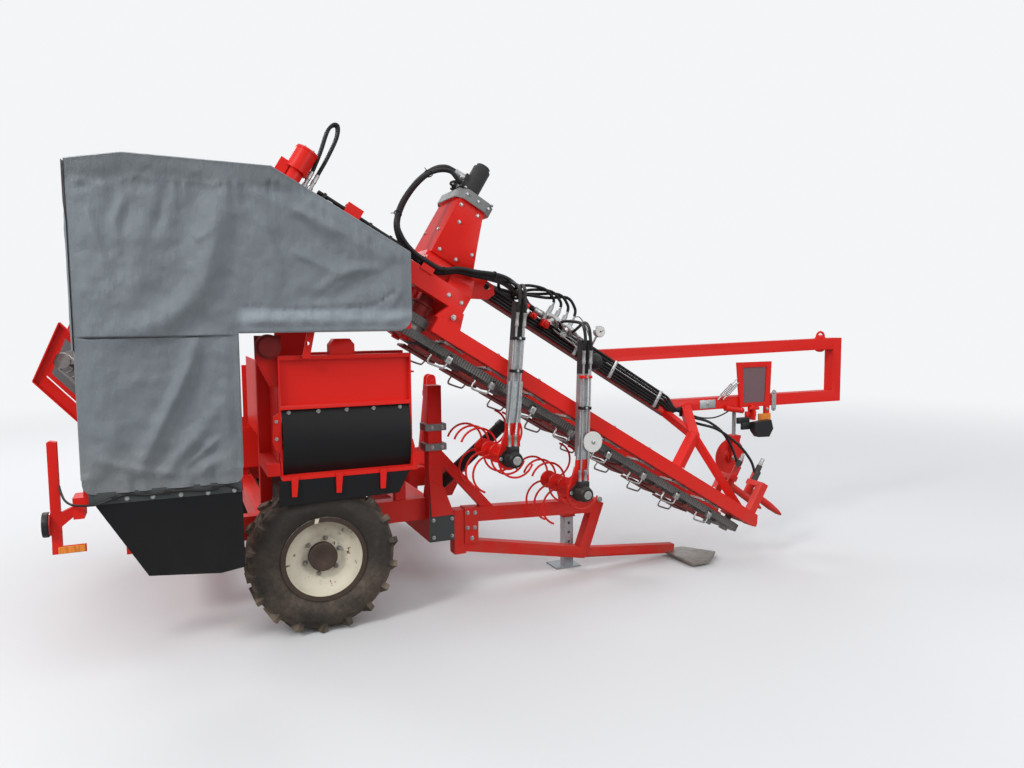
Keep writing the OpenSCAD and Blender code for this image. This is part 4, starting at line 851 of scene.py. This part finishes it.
# CAD nodes that keep their shape: node, finish and width of its broken edges, then the finish and
# the place of each part of another colour
LOOKS = [
    ("chassis_frame", "red", 0.003,
     ("cast", machine_box((0.615, -0.96, 0.832), (0.75, -0.83, 0.874))),
     ("cast", machine_box((0.615, -0.96, 0.944), (0.75, -0.83, 0.986))),
     ("slate", machine_box((0.636, -0.94, 0.30), (0.80, -0.925, 0.46)))),
    ("axle", "dark", 0.003),
    ("share_frame", "red", 0.003, ("blade", machine_box((2.2, -1.3, 0.0), (2.6, -0.8, 0.0345)))),
    ("leg_sleeves", "red", 0.0015),
    ("leg_right", "galvanised", 0.002),
    ("leg_left", "galvanised", 0.002),
    # painted shade: a shaded patch of the web housing gets the darker red
    ("web_housing", "red", 0.0015, ("shade_red", machine_box((-0.31, -1.24, 1.36), (-0.16, -1.16, 1.52)))),
    ("side_panel", "red", 0.0015),
    ("panel_rubber", "rubber", 0.001),
    ("rubber_skirt", "rubber", 0.0015),
    ("curtain_frame", "red", 0.002),
    ("elevator_trough", "red", 0.0015),
    ("elevator_lining", "grey", 0.0),
    ("headstock", "red", 0.003),
    ("lamp_brackets", "red", 0.0015),
    ("rear_lamps", "lens_red", 0.002,
     ("lens_amber", machine_box((-1.15, -1.26, 0.55), (-1.03, -1.23, 0.61)))),
    ("cross_web", "steel", 0.0),
    ("elevator_web", "steel", 0.0),
    # painted shade: a shaded part of the element head gets the darker red
    ("element_head", "red", 0.002, ("shade_red", slope_box((0.48, -0.15, 0.09), (0.62, 0.15, 0.2145)))),
    ("lower_beams", "red", 0.0025, ("worn_tip", slope_box((3.060, -0.24, 0.04), (3.12, 0.24, 0.14)))),
    ("belt_pulleys", "steel", 0.001, ("red", slope_box((0.4, -0.2, -0.045), (0.7, 0.2, -0.0249)))),
    ("drive_box", "red", 0.003,
     ("cast", slope_box((0.38, -0.2, 0.7431), (0.66, 0.26, 0.8015))),
     ("dark", slope_box((0.38, -0.2, 0.8015), (0.66, 0.26, 1.1)))),
    ("rear_motor", "red", 0.002),
    ("upper_frame", "red", 0.003,
     # painted shade: the tube under the hoses gets the darker red of its shade
     ("shade_red", slope_box((0.90, -1.0, 0.43), (2.30, 0.29, 0.53))),
     ("galvanised", machine_box((2.88, -0.83, 0.755), (2.92, -0.79, 0.945)))),
    ("marker_board", "pane", 0.001,
     ("bright", machine_box((3.19, -0.86, 0.90), (3.24, -0.845, 1.06))),
     ("lens_amber", machine_box((3.05, -0.88, 0.84), (3.17, -0.867, 0.90))),
     ("dark", machine_box((2.95, -0.97, 0.74), (3.13, -0.90, 0.87)))),
    ("leaf_lifters", "red", 0.002, ("dark", slope_box((3.0, -0.13, 0.355), (3.1, 0.13, 0.45)))),
    ("cutting_disc", "red", 0.0, ("blade", lambda p: off_disc(p) > BLADE_FROM)),
    ("shaker_rotor_rear", "red", 0.0),
    ("shaker_rotor_front", "red", 0.0),
    ("lift_barrel", "dark", 0.0015),
    ("lift_rod", "bright", 0.0015),
    ("hydraulic_block", "bright", 0.001, ("dark", slope_box((1.65, 0.05, 0.40), (1.78, 0.185, 0.53)))),
    ("hydraulic_lines", "hose", 0.0),
]


def make_looks():
    for node, finish, width, *parts in LOOKS:
        piece = bevelled(node, finish, width)
        for part in parts:
            repaint(piece, *part)


# Chassis pieces

SKIRT_CABLE = [
    (-1.129, -1.222, 0.862), (-1.118, -1.26, 0.838), (-1.098, -1.31, 0.812), (-1.06, -1.343, 0.796),
    (-0.98, -1.343, 0.790), (-0.92, -1.340, 0.808), (-0.86, -1.338, 0.822), (-0.77, -1.338, 0.812),
    (-0.64, -1.338, 0.818), (-0.53, -1.338, 0.808), (-0.46, -1.338, 0.826), (-0.40, -1.338, 0.80),
]


LAMP_RIM = [(0.053, 0), (0.055, 0.004), (0.055, 0.022), (0.046, 0.030)]


def make_chassis_parts():
    kit = Kit()
    for x in (-0.150, -0.008, 0.131, 0.268, 0.405):
        kit.bolt(at(x, -1.2035, 1.124), (0, -1, -0.3), 0.0085)
    kit.near_bolts(-1.3302, 0.0085, ((-0.862, 0.803), (-0.760, 0.800), (-0.646, 0.797), (-0.533, 0.795),
                                     (-0.420, 0.795)))
    kit.near_bolts(-0.937, 0.010, ((0.868, 0.454), (0.915, 0.45), (0.868, 0.366), (0.912, 0.362),
                                   (0.894, 0.302)))
    kit.near_bolts(-1.2151, 0.007, ((-0.211, 1.085), (-0.212, 1.0)))
    kit.near_bolts(-0.943, 0.009, ((0.66, 0.853), (0.66, 0.965), (0.72, 0.853), (0.72, 0.965)))
    kit.near_bolts(-0.9301, 0.009, ((0.665, 0.33), (0.665, 0.43), (0.775, 0.33), (0.775, 0.43)))
    kit.near_bolts(-0.9301, 0.014, ((1.752, 0.44),))
    kit.done("chassis_bolts", "bright", "chassis")
    kit = Kit()
    kit.hose(SKIRT_CABLE, 6, 0.005, to=at)
    for x, z in ((-0.91, 0.812), (-0.70, 0.816), (-0.50, 0.816)):
        kit.box((x - 0.012, -1.345, z - 0.009), (x + 0.012, -1.3305, z + 0.009))
    kit.done("skirt_cable", "dark", "chassis")
    kit = Kit()
    kit.box((-1.009, -1.3322, 0.786), (-0.386, -1.3302, 0.838), rounded=0.0005)
    kit.done("skirt_strip", "slate", "chassis")
    kit = Kit()
    for y, z in ((-1.211, 0.695), (0.839, 0.645)):
        kit.lathe(at(-1.1995, y, z), (1, 0, 0), LAMP_RIM, 32)
    kit.done("rear_lamp_rims", "dark", "chassis")


HUB_RADIUS, FLANGE_RADIUS = 0.0635, 0.203
NUTS, NUT_CIRCLE = 6, 0.0925
HUB_CAP = [(0.0715, 0), (0.0715, 0.040), (0.069, 0.043), (0.034, 0.0435), (0.032, 0.0425), (0.004, 0.042)]


def make_wheels():
    for side, sign in (("right", -1), ("left", 1)):
        body = "wheel_" + side
        hub = at(0, sign * HUB_Y, WHEEL_Z)
        axis = Vector((0, sign, 0))
        bevelled("tyre_" + side, "tyre", 0.004)
        rim = bevelled("rim_" + side, "rim", 0.0)
        repaint(rim, "hub", lambda p: math.hypot(p.x - hub.x, p.z - hub.z) < HUB_RADIUS)
        repaint(rim, "bead", lambda p: math.hypot(p.x - hub.x, p.z - hub.z) > FLANGE_RADIUS)
        kit = Kit()
        kit.lathe(hub + axis * 0.0405, axis, HUB_CAP, 48)
        kit.done("hub_cap_" + side, "hub", body)
        kit = Kit()
        kit.lathe(hub + axis * 0.0395, axis, [(0.072, 0.001), (0.116, 0.001), (0.119, 0.0)], 64)
        kit.done("rim_ring_" + side, "rim", body)
        kit = Kit()
        for k in range(NUTS):
            turn = math.radians(360 / NUTS * k + 18)
            place = hub + axis * 0.040 + Vector((math.cos(turn), 0, math.sin(turn))) * NUT_CIRCLE
            kit.lathe(place, axis, [(0.014, 0), (0.014, 0.003), (0.011, 0.004)], 16)
            kit.lathe(place + axis * 0.003, axis, [(0.011, 0), (0.011, 0.013), (0.009, 0.016)], 6)
            kit.lathe(place + axis * 0.018, axis, [(0.0055, 0), (0.0055, 0.010), (0.004, 0.012)], 12)
        # the valve
        kit.lathe(hub + axis * 0.055 + Vector((0.10, 0, 0.125)), axis,
                  [(0.004, 0), (0.004, 0.03), (0.0055, 0.031), (0.0055, 0.04)], 10)
        kit.done("wheel_nuts_" + side, "steel", body)


# Lifting element

PULLEY, BELT_THICK, BELT_SIDE, RIB_PITCH, RIB_DEPTH = 0.064, 0.016, 0.081, 0.0155, 0.0035
# belts: first and last pulley down the slope, lower and upper edge
BELTS = {"lifting_belts": (0.550, 3.000, -0.0215, 0.0215), "haulm_belts": (-0.320, 0.550, 0.052, 0.098)}


def belt_loop(kit, start, end, side, n0, n1):
    """Ribbed belt round two pulleys; the ribs stand on the outer face."""
    straight = end - start
    outer = PULLEY + BELT_THICK
    arc = math.pi * outer
    total = 2 * (straight + arc)
    count = round(total / RIB_PITCH) * 4
    rings = []
    for k in range(count):
        gone = total * k / count
        depth = BELT_THICK - (0.0 if k % 4 in (0, 1) else RIB_DEPTH)
        if gone < straight:
            s, turn = start + gone, math.pi / 2
        elif gone < straight + arc:
            s, turn = end, math.pi / 2 - (gone - straight) / outer
        elif gone < 2 * straight + arc:
            s, turn = end - (gone - straight - arc), -math.pi / 2
        else:
            s, turn = start, -math.pi / 2 - (gone - 2 * straight - arc) / outer
        rings.append([kit.work.verts.new(up_slope(s + r * math.cos(turn), side + r * math.sin(turn), n))
                      for r, n in ((PULLEY, n0), (PULLEY + depth, n0), (PULLEY + depth, n1), (PULLEY, n1))])
    for a, b in zip(rings, rings[1:] + rings[:1]):
        for k in range(4):
            kit.work.faces.new((a[k], a[(k + 1) % 4], b[(k + 1) % 4], b[k]))


def make_belts():
    for node, belt in BELTS.items():
        start, end, n0, n1 = belt
        kit = Kit()
        for side in (-BELT_SIDE, BELT_SIDE):
            belt_loop(kit, start, end, side, n0, n1)
        kit.done(node + "_ribbed", "belt", ELEMENT, (node,), 30)


ROLLERS, FIRST_ROLLER, ROLLER_PITCH = 8, 0.736, 0.282
ROLLER_NUT = [(0.014, 0), (0.014, 0.006), (0.009, 0.009)]
# bent rod of one grip: down the belts from its roller, out from the row and above the belt plane
GRIP = [(-0.045, 0.166, -0.049), (-0.045, 0.186, -0.050), (-0.047, 0.188, -0.078), (-0.042, 0.189, -0.091),
        (-0.030, 0.189, -0.094), (0.036, 0.189, -0.082), (0.048, 0.189, -0.074), (0.054, 0.186, -0.050),
        (0.055, 0.172, -0.042)]


def make_rollers():
    def grip(point):
        p = to_slope(point)
        return abs(p.y) > 0.1805 and p.z < -0.034 or abs(p.y) > 0.1722 and p.z < -0.044

    rollers = bevelled("belt_rollers", "steel", 0.001, grip)
    # painted shade: the slats under the belts get the darker red
    repaint(rollers, "shade_red", slope_box((-1.0, -0.172, -0.058), (4.0, 0.172, -0.043)))
    repaint(rollers, "bright", lambda point: to_slope(point).z > 0.033)
    grips, bolts = Kit(), Kit()
    for i in range(ROLLERS):
        s = FIRST_ROLLER + ROLLER_PITCH * i
        for side in (-1, 1):
            grips.hose([(s + a, side * b, c) for a, b, c in GRIP], 3, 0.0055)
            y = side * 0.176
            grips.box((s + 0.040, y - 0.012, -0.046), (s + 0.072, y + 0.012, -0.008), up_slope)
            bolts.bolt(up_slope(s + 0.056, side * 0.1885, -0.020), ACROSS * side, 0.007)
            bolts.bolt(up_slope(s, side * 0.190, 0.1302), SQUARE, 0.010)
            bolts.bolt(up_slope(s + 0.092, side * 0.169, 0.0425), SQUARE, 0.007)
            bolts.lathe(up_slope(s, side * 0.0433, 0.0252), SQUARE, ROLLER_NUT, 6)
    grips.done("roller_grips", "bright")
    bolts.done("roller_bolts", "bright")


FITTING = [(0.023, 0), (0.023, 0.018), (0.021, 0.020), (0.021, 0.055), (0.0185, 0.060)]
BOX_BOLTS = [(0.491, 0.631), (0.572, 0.452), (0.636, 0.521), (0.47, 0.452), (0.56, 0.715), (0.455, 0.715)]
SMALL_FITTING = [(0.0125, 0), (0.0125, 0.010), (0.0115, 0.012), (0.0115, 0.040), (0.010, 0.043)]
DRUM_S, DRUM_Y = -0.320, -0.081
DRUM = [(0.060, 0), (0.060, 0.010), (0.056, 0.012), (0.056, 0.104), (0.059, 0.106), (0.059, 0.116),
        (0.054, 0.119), (0.010, 0.120)]


def make_box_fittings():
    """Bolts, plugs and hose ends on the drive box and the rear motor."""
    bolts = Kit()
    for s, n in BOX_BOLTS:
        bolts.bolt(up_slope(s, -0.1502, n), -ACROSS, 0.008)
        bolts.bolt(up_slope(s, 0.2102, n), ACROSS, 0.008)
    for s, y in ((0.46, -0.12), (0.58, -0.12), (0.46, 0.19), (0.58, 0.19)):
        bolts.bolt(up_slope(s, y, 0.8012), SQUARE, 0.010)
    for y in (-0.07, 0.17):
        bolts.bolt(up_slope(0.4345, y, 0.56), -ALONG, 0.008)
    for s in (0.62, 0.70):
        bolts.bolt(up_slope(s, -0.1902, 0.265), -ACROSS, 0.009)
    bolts.bolt(up_slope(0.69, -0.2262, 0.17), -ACROSS, 0.012)
    bolts.done("drive_bolts", "bright")
    ends = Kit()
    ends.lathe(up_slope(0.440, 0.050, 0.910), -ALONG, FITTING, 16)
    ends.lathe(up_slope(1.300, 0.215, 0.556), -ALONG, FITTING, 16)
    for y in REAR_HOSE_Y.values():
        for s in (-0.252, -0.222):
            ends.lathe(up_slope(s, y, 0.398), SQUARE, SMALL_FITTING, 12)
    ends.done("hose_ends", "bright")
    dark = Kit()
    dark.box((0.405, -0.150, 0.800), (0.455, -0.060, 0.838), up_slope, 0.004)
    dark.box((0.395, -0.020, 0.800), (0.440, 0.012, 0.850), up_slope, 0.004)
    dark.hose([(0.408, -0.10, 0.82), (0.385, -0.10, 0.82), (0.372, -0.06, 0.815), (0.385, -0.01, 0.82),
               (0.40, 0.0, 0.825)], 4, 0.007)
    dark.done("box_valve", "dark")


def make_rear_drum():
    kit = Kit()
    kit.lathe(up_slope(DRUM_S, DRUM_Y, 0.396), SQUARE, DRUM, 40)
    kit.done("rear_motor_drum", "red")
    kit = Kit()
    for k in range(6):
        turn = math.radians(60 * k)
        place = up_slope(DRUM_S + 0.044 * math.cos(turn), DRUM_Y + 0.044 * math.sin(turn), 0.5152)
        kit.bolt(place, SQUARE, 0.006)
    for s, y in ((0.43, -0.155), (0.60, -0.155), (0.43, 0.215), (0.60, 0.215)):
        kit.bolt(up_slope(s, y, 0.8012), SQUARE, 0.008)
    for s in (0.45, 0.52, 0.585):
        kit.bolt(up_slope(s, -0.1752, 0.772), -ACROSS, 0.007)
    kit.done("drum_bolts", "bright")
    kit = Kit()
    for y in (-0.179, -0.157):
        kit.hose([(-0.19, y, 0.3485), (-0.10, y, 0.3485), (0.05, y, 0.350), (0.16, y, 0.3485),
                  (0.28, y, 0.350), (0.36, y - 0.004, 0.346), (0.405, y - 0.006, 0.330)], 4, 0.0105, 10)
    kit.done("beam_hoses", "hose")
    kit = Kit()
    for s in (-0.155, 0.10, 0.215):
        kit.box((s - 0.007, -0.192, 0.3155), (s + 0.007, -0.144, 0.3615), up_slope)
    kit.done("beam_hose_straps", "dark")


VALVE_PORTS = (1.330, 1.385, 1.440, 1.495)
PORT = [(0.012, 0), (0.012, 0.012), (0.009, 0.014), (0.009, 0.03)]
GAUGE_S, GAUGE_N = 1.722, 0.680


def make_line_clamps():
    kit = Kit()
    for s in (0.935, 1.20, 1.60, 1.894, 2.29):
        top = 0.566 if s > 1.52 else 0.527
        kit.box((s - 0.012, 0.1775, 0.446), (s + 0.012, 0.1995, top), up_slope, 0.003)
        kit.bolt(up_slope(s, 0.1775, 0.505), -ACROSS, 0.006)
    for s in (-0.12, 0.16):
        kit.box((s - 0.015, -0.1895, 0.3135), (s + 0.015, -0.128, 0.340), up_slope, 0.003)
        kit.bolt(up_slope(s, -0.158, 0.340), SQUARE, 0.006)
    # fittings and pipes round the valve block, and the gauge with its pipe
    for s in VALVE_PORTS:
        kit.lathe(up_slope(s, 0.200, 0.626), SQUARE, PORT, 6)
        kit.hose([(s, 0.137, 0.555), (s, 0.118, 0.555), (s + 0.02, 0.112, 0.550), (s + 0.05, 0.125, 0.536),
                  (s + 0.09, 0.165, 0.534)], 4, 0.006)
    kit.hose([(1.495, 0.20, 0.65), (1.53, 0.205, 0.672), (1.60, 0.225, 0.655), (1.67, 0.250, 0.62),
              (1.715, 0.256, 0.60)], 5, 0.004)
    kit.lathe(up_slope(GAUGE_S, 0.2675, GAUGE_N), -ACROSS,
              [(0.0365, 0), (0.0365, 0.026), (0.034, 0.030), (0.034, 0.0295)], 32)
    kit.done("line_clamps", "bright")
    kit = Kit()
    kit.lathe(up_slope(GAUGE_S, 0.2380, GAUGE_N), -ACROSS, [(0.031, 0), (0.031, 0.0012)], 32)
    kit.done("gauge_face", "white")
    kit = Kit()
    kit.lathe(up_slope(GAUGE_S, 0.2368, GAUGE_N), -ACROSS, [(0.005, 0), (0.005, 0.002)], 12)
    kit.tube([up_slope(GAUGE_S, 0.2360, GAUGE_N), up_slope(1.738, 0.2360, 0.697)], 0.0014, 6)
    kit.done("gauge_hand", "dark")


def make_valve_lines():
    """Hoses and pipes that lie free of the solids, all of them clamped."""
    kit = Kit()
    for k, s in enumerate(VALVE_PORTS):
        lift = 0.04 + 0.012 * k
        y = 0.222 + 0.014 * (k % 3)
        kit.hose([(s, 0.20, 0.655), (s - 0.02, 0.203, 0.655 + lift * 0.6), (s - 0.10, 0.210, 0.655 + lift),
                  (s - 0.22, y, 0.62 + lift * 0.5), (1.12 - 0.03 * k, y + 0.01, 0.560),
                  (1.02 - 0.03 * k, y + 0.015, 0.537), (0.92, y + 0.015, 0.535)], 6, 0.009, 10)
    for k, n in enumerate((0.495, 0.514, 0.534, 0.553)):
        kit.tube(smooth_route([up_slope(2.326, 0.1907, n), up_slope(2.37, 0.190, n - 0.004),
                               up_slope(2.43, 0.188 - 0.004 * k, 0.478 + 0.012 * k),
                               at(2.405 + 0.006 * k, -0.866, 0.972 - 0.012 * k),
                               at(2.428, -0.868, 0.950 - 0.008 * k)], 6), 0.009)
    for k, n in enumerate((0.457, 0.476)):
        kit.tube([up_slope(0.895 + 0.0598 * i, 0.1907, n + 0.0012 * math.sin(i * 0.9 + k))
                  for i in range(25)], 0.009)
    kit.done("valve_hoses", "hose")
    kit = Kit()
    for k in range(3):
        y = 0.232 + 0.019 * k
        kit.tube([up_slope(s, y, 0.5345 + 0.004 * math.sin(s * 9 + k)) for s in
                  [0.89 + 0.04 * i for i in range(10)]], 0.009)
        kit.tube([up_slope(s, y - 0.015, 0.5345 + 0.003 * math.sin(s * 8 + k * 2)) for s in
                  [1.525 + 0.04 * i for i in range(6)]], 0.008)
    kit.done("tube_top_hoses", "hose")
    kit = Kit()
    for s, n, size in ((1.165, 0.535, 0.014), (1.235, 0.508, 0.016), (1.325, 0.505, 0.022)):
        kit.box((s - size * 1.2, 0.142, n - size), (s + size * 1.2, 0.180, n + size), up_slope, 0.004)
        kit.lathe(up_slope(s, 0.142, n), -ACROSS,
                  [(size * 0.7, 0), (size * 0.7, 0.010), (size * 0.5, 0.013)], 16)
    kit.done("valve_caps", "red")
    kit = Kit()
    for k, n in enumerate((0.500, 0.520, 0.540, 0.558)):
        s = 1.395 + 0.022 * k
        kit.hose([(s, 0.200, n + 0.02), (s + 0.01, 0.168, n + 0.006), (s + 0.05, 0.160, n),
                  (s + 0.15, 0.160, n - 0.004), (s + 0.21, 0.160, n - 0.016), (s + 0.245, 0.172, n - 0.040)],
                 5, 0.0055, 10)
        for place in (s + 0.055, s + 0.145):
            kit.lathe(up_slope(place, 0.160, n - 0.001), ALONG,
                      [(0.0095, 0), (0.0095, 0.014), (0.008, 0.016), (0.008, 0.026)], 6)
    kit.box((1.44, 0.150, 0.495), (1.485, 0.178, 0.560), up_slope, 0.004)
    kit.done("valve_pipes", "bright")


# Shakers, rear and front: (x, z) of a post's top, its foot and the rotor's axis, height at which the
# post turns dark, height at which the arm turns bare, and how far up the post its clamps sit
SHAKERS = [
    ((1.034, 1.658), (0.993, 1.180), (0.956, 0.835), 1.458, 1.02, (0.24, 0.60)),
    ((1.428, 1.449), (1.408, 0.800), (1.376, 0.611), 1.264, 0.79, (0.425, 0.69)),
]
BETWEEN_SHAKERS = 1.2
PIPE_Y = -1.3525
# height above the belt plane at which the shakers' hoses end
HOSE_END_N = 0.534
MOTOR = [(0.050, 0), (0.050, 0.014), (0.041, 0.015), (0.041, 0.030), (0.044, 0.032), (0.044, 0.044),
         (0.041, 0.046), (0.041, 0.058), (0.044, 0.060), (0.044, 0.072), (0.040, 0.074), (0.040, 0.088),
         (0.034, 0.096), (0.034, 0.100), (0.022, 0.1005)]
MOTOR_RING = [(0.023, 0), (0.023, 0.0025), (0.017, 0.0035), (0.017, 0.001), (0.006, 0.001), (0.006, 0.004)]
PIPE_END = [(0.0105, 0), (0.0105, 0.018), (0.0090, 0.020), (0.0090, 0.060), (0.0105, 0.062), (0.0105, 0.072),
            (0.008, 0.074)]


def repaint_above(piece, finish, heights):
    """Cut the faces at one height on the rear shaker and another on the front one; repaint those above."""
    work = bmesh.new()
    work.from_mesh(piece.data)
    for height, behind in zip(heights, (True, False)):
        faces = [f for f in work.faces if (to_machine(f.calc_center_median()).x < BETWEEN_SHAKERS) == behind]
        edges = {e for f in faces for e in f.edges}
        verts = {v for f in faces for v in f.verts}
        bmesh.ops.bisect_plane(work, geom=list(verts) + list(edges) + faces, dist=DOUBLES,
                               plane_co=at(0, 0, height), plane_no=UP)
    work.to_mesh(piece.data)
    work.free()
    repaint(piece, finish, lambda p: to_machine(p).z > heights[to_machine(p).x >= BETWEEN_SHAKERS])


def make_shaker_motors():
    """Stepped hydraulic motors: a flange with two ears, the body, and a cap with a ring."""
    black, ring = Kit(), Kit()
    for _, _, (x, z), *_ in SHAKERS:
        place = at(x, -1.345, z)
        black.lathe(place, NEAR, MOTOR, 32)
        black.box((x - 0.062, -1.359, z - 0.019), (x + 0.062, -1.3455, z + 0.019), rounded=0.004)
        black.box((x - 0.030, -1.412, z + 0.030), (x + 0.030, -1.364, z + 0.069), rounded=0.004)
        ring.lathe(place + NEAR * 0.1006, NEAR, MOTOR_RING, 24)
        for side in (-1, 1):
            ring.bolt(place + Vector((side * 0.054, -0.0142, 0)), NEAR, 0.0085)
    black.done("shaker_motors_stepped", "dark", ELEMENT, ("shaker_motors",))
    ring.done("shaker_motor_rings", "bright")


def make_shakers():
    posts = bevelled("shaker_posts", "galvanised", 0.0015)
    repaint(posts, "white", machine_box((1.39, -1.38, 0.82), (1.53, -1.344, 0.95)))
    repaint_above(posts, "dark", [shaker[3] for shaker in SHAKERS])
    repaint_above(bevelled("shaker_arms", "red", 0.0015), "galvanised", [shaker[4] for shaker in SHAKERS])
    pipes, bright, black, bolts, red = (Kit() for _ in range(5))
    for top, foot, axis, _, _, shares in SHAKERS:
        top, foot, axis = (Vector((x, 0, z)) for x, z in (top, foot, axis))
        along = (top - foot).normalized()
        aside = Vector((along.z, 0, -along.x))
        for side in (-1, 1):
            line = at(0, PIPE_Y, 0) + aside * side * 0.0215
            high = line + top - along * 0.118
            low = line + foot - along * 0.06
            port = at(axis.x + side * 0.017, -1.388, axis.z + 0.066)
            pipes.tube([high] + smooth_route([high.lerp(low, 0.5), low,
                                              low.lerp(port, 0.5) + Vector((side * 0.003, 0.012, 0)),
                                              port + UP * 0.03, port], 5), 0.0062, 12)
            for place, facing in ((high, along), (port, UP)):
                bright.lathe(place - facing * 0.012, facing, PIPE_END, 8)
            high += along * 0.055
            over = at(0, PIPE_Y, 0) + top + aside * side * 0.016
            # how far down the slope the hose's end lies
            end_x = high.x + 0.10 + 0.02 * side
            s = (end_x - ORIGIN.x - HOSE_END_N * math.sin(SLOPE)) / math.cos(SLOPE)
            black.tube(smooth_route([high, high + along * 0.03, over + Vector((0.004, 0.004, 0)),
                                     over + along * 0.065 + Vector((0.016, 0.045, 0)),
                                     over + along * 0.095 + Vector((0.045, 0.15, 0)),
                                     up_slope(s - 0.02, 0.08, 0.56), up_slope(s, 0.150, 0.545),
                                     up_slope(s + 0.03, 0.178, 0.533)], 6), 0.009)
        for share, kit in zip(shares, (black, red if top.x > BETWEEN_SHAKERS else black)):
            place = at(0, -1.3302, 0) + foot + along * (top - foot).length * share
            kit.box((-0.031, -0.031, -0.008), (0.031, 0.014, 0.008),
                    lambda a, b, c: place + aside * a + Vector((0, b, 0)) + along * c)
            bolts.bolt(place + NEAR * 0.031, NEAR, 0.006)
    bolts.lathe(at(1.458, -1.3602, 0.885), NEAR, [(0.012, 0), (0.012, 0.004), (0.008, 0.006)], 6)
    pipes.done("shaker_pipes_front", "bright", ELEMENT, ("shaker_pipes",))
    bright.done("shaker_pipe_ends", "bright")
    red.done("shaker_red_clamp", "red")
    black.done("shaker_hoses", "hose")
    bolts.done("shaker_bolts", "bright")


# Guard frame

GUARD_HOSES = [
    [(2.42, -0.862, 0.945), (2.52, -0.870, 0.900), (2.62, -0.885, 0.870), (2.72, -0.90, 0.80),
     (2.79, -0.905, 0.71), (2.825, -0.92, 0.62), (2.83, -0.945, 0.545)],
    [(2.42, -0.862, 0.925), (2.50, -0.90, 0.872), (2.60, -1.00, 0.835), (2.70, -1.09, 0.74),
     (2.765, -1.135, 0.64), (2.79, -1.148, 0.56), (2.80, -1.148, 0.50)],
]
LAMP_CABLE = [(2.46, -0.862, 0.940), (2.56, -0.862, 0.90), (2.68, -0.862, 0.89), (2.78, -0.862, 0.915),
              (2.84, -0.862, 0.95)]


def spring(start, end, radius, turns, steps=14):
    """Points of a coil with a short straight end on each side."""
    axis = (end - start).normalized()
    side = axis.orthogonal().normalized()
    up = axis.cross(side)
    points = [start - axis * 0.02, start]
    for k in range(turns * steps + 1):
        a = math.tau * k / steps
        points.append(start.lerp(end, k / (turns * steps)) + radius * (side * math.cos(a) + up * math.sin(a)))
    return points + [end, end + axis * 0.02]


def make_guard_parts():
    kit = Kit()
    for dx in (0.0, 0.045):
        low, high = at(2.745 + dx, -0.862, 1.035), at(2.835 + dx, -0.862, 1.110)
        kit.tube(spring(low, high, 0.010, 9), 0.0028, 6)
        kit.tube([at(2.715 + dx, -0.862, 1.010), low], 0.004, 8)
        kit.tube([high, at(2.880 + dx, -0.862, 1.147)], 0.004, 8)
    kit.near_bolts(-0.8535, 0.009, ((2.64, 0.985),))
    kit.near_bolts(-0.8702, 0.009, ((2.80, 0.945), (2.905, 0.935), (3.14, 0.925)))
    kit.near_bolts(-0.8562, 0.008, ((3.215, 0.925), (3.215, 1.035)))
    kit.near_bolts(-0.8502, 0.013, (DISC,))
    kit.done("guard_fittings", "bright")
    kit = Kit()
    kit.tube([at(3.68 + 0.034 * math.cos(turn), -0.812, 1.418 + 0.036 * math.sin(turn)) for turn in
              [math.radians(-20 + 220 * k / 16) for k in range(17)]], 0.0085, 8)
    kit.box((2.945, -0.882, 0.880), (3.035, -0.8645, 0.918), rounded=0.003)
    kit.box((2.985, -0.890, 0.905), (3.015, -0.8645, 0.962), rounded=0.003)
    kit.lathe(at(2.955, -0.8945, 0.940), (1, 0, 0), [(0.012, 0), (0.012, 0.085), (0.008, 0.088)], 16)
    kit.done("guard_clamps", "red")
    kit = Kit()
    kit.box((2.575, -0.8535, 0.955), (2.705, -0.8500, 1.012))
    kit.done("guard_plate", "galvanised")
    kit = Kit()
    for route in GUARD_HOSES:
        kit.hose(route, 6, 0.009, 10, at)
    kit.hose(LAMP_CABLE, 6, 0.005, to=at)
    for x, z in ((2.42, 0.915), (2.84, 0.940)):
        kit.box((x - 0.012, -0.872, z), (x + 0.012, -0.8495, 0.96))
    kit.done("guard_hoses", "hose")
    kit = Kit()
    kit.box((2.850, -0.912, 0.842), (2.952, -0.890, 0.884), rounded=0.004)
    kit.box((2.880, -0.920, 0.800), (2.960, -0.900, 0.850), rounded=0.004)
    kit.done("lamp_mount", "dark")
    kit = Kit()
    for y in (-0.095, 0.095):
        kit.lathe(up_slope(3.045, y, 0.44), SQUARE,
                  [(0.014, 0), (0.014, 0.016), (0.012, 0.018), (0.012, 0.05)], 8)
    kit.done("lifter_fittings", "bright")


make_camera()
make_cords()
make_light()
make_floor()
make_looks()
make_chassis_parts()
make_wheels()
make_curtain()
make_rear_flap()
make_belts()
make_rollers()
make_box_fittings()
make_rear_drum()
make_line_clamps()
make_valve_lines()
make_shaker_motors()
make_shakers()
make_guard_parts()
bpy.context.scene.view_settings.view_transform = "Standard"
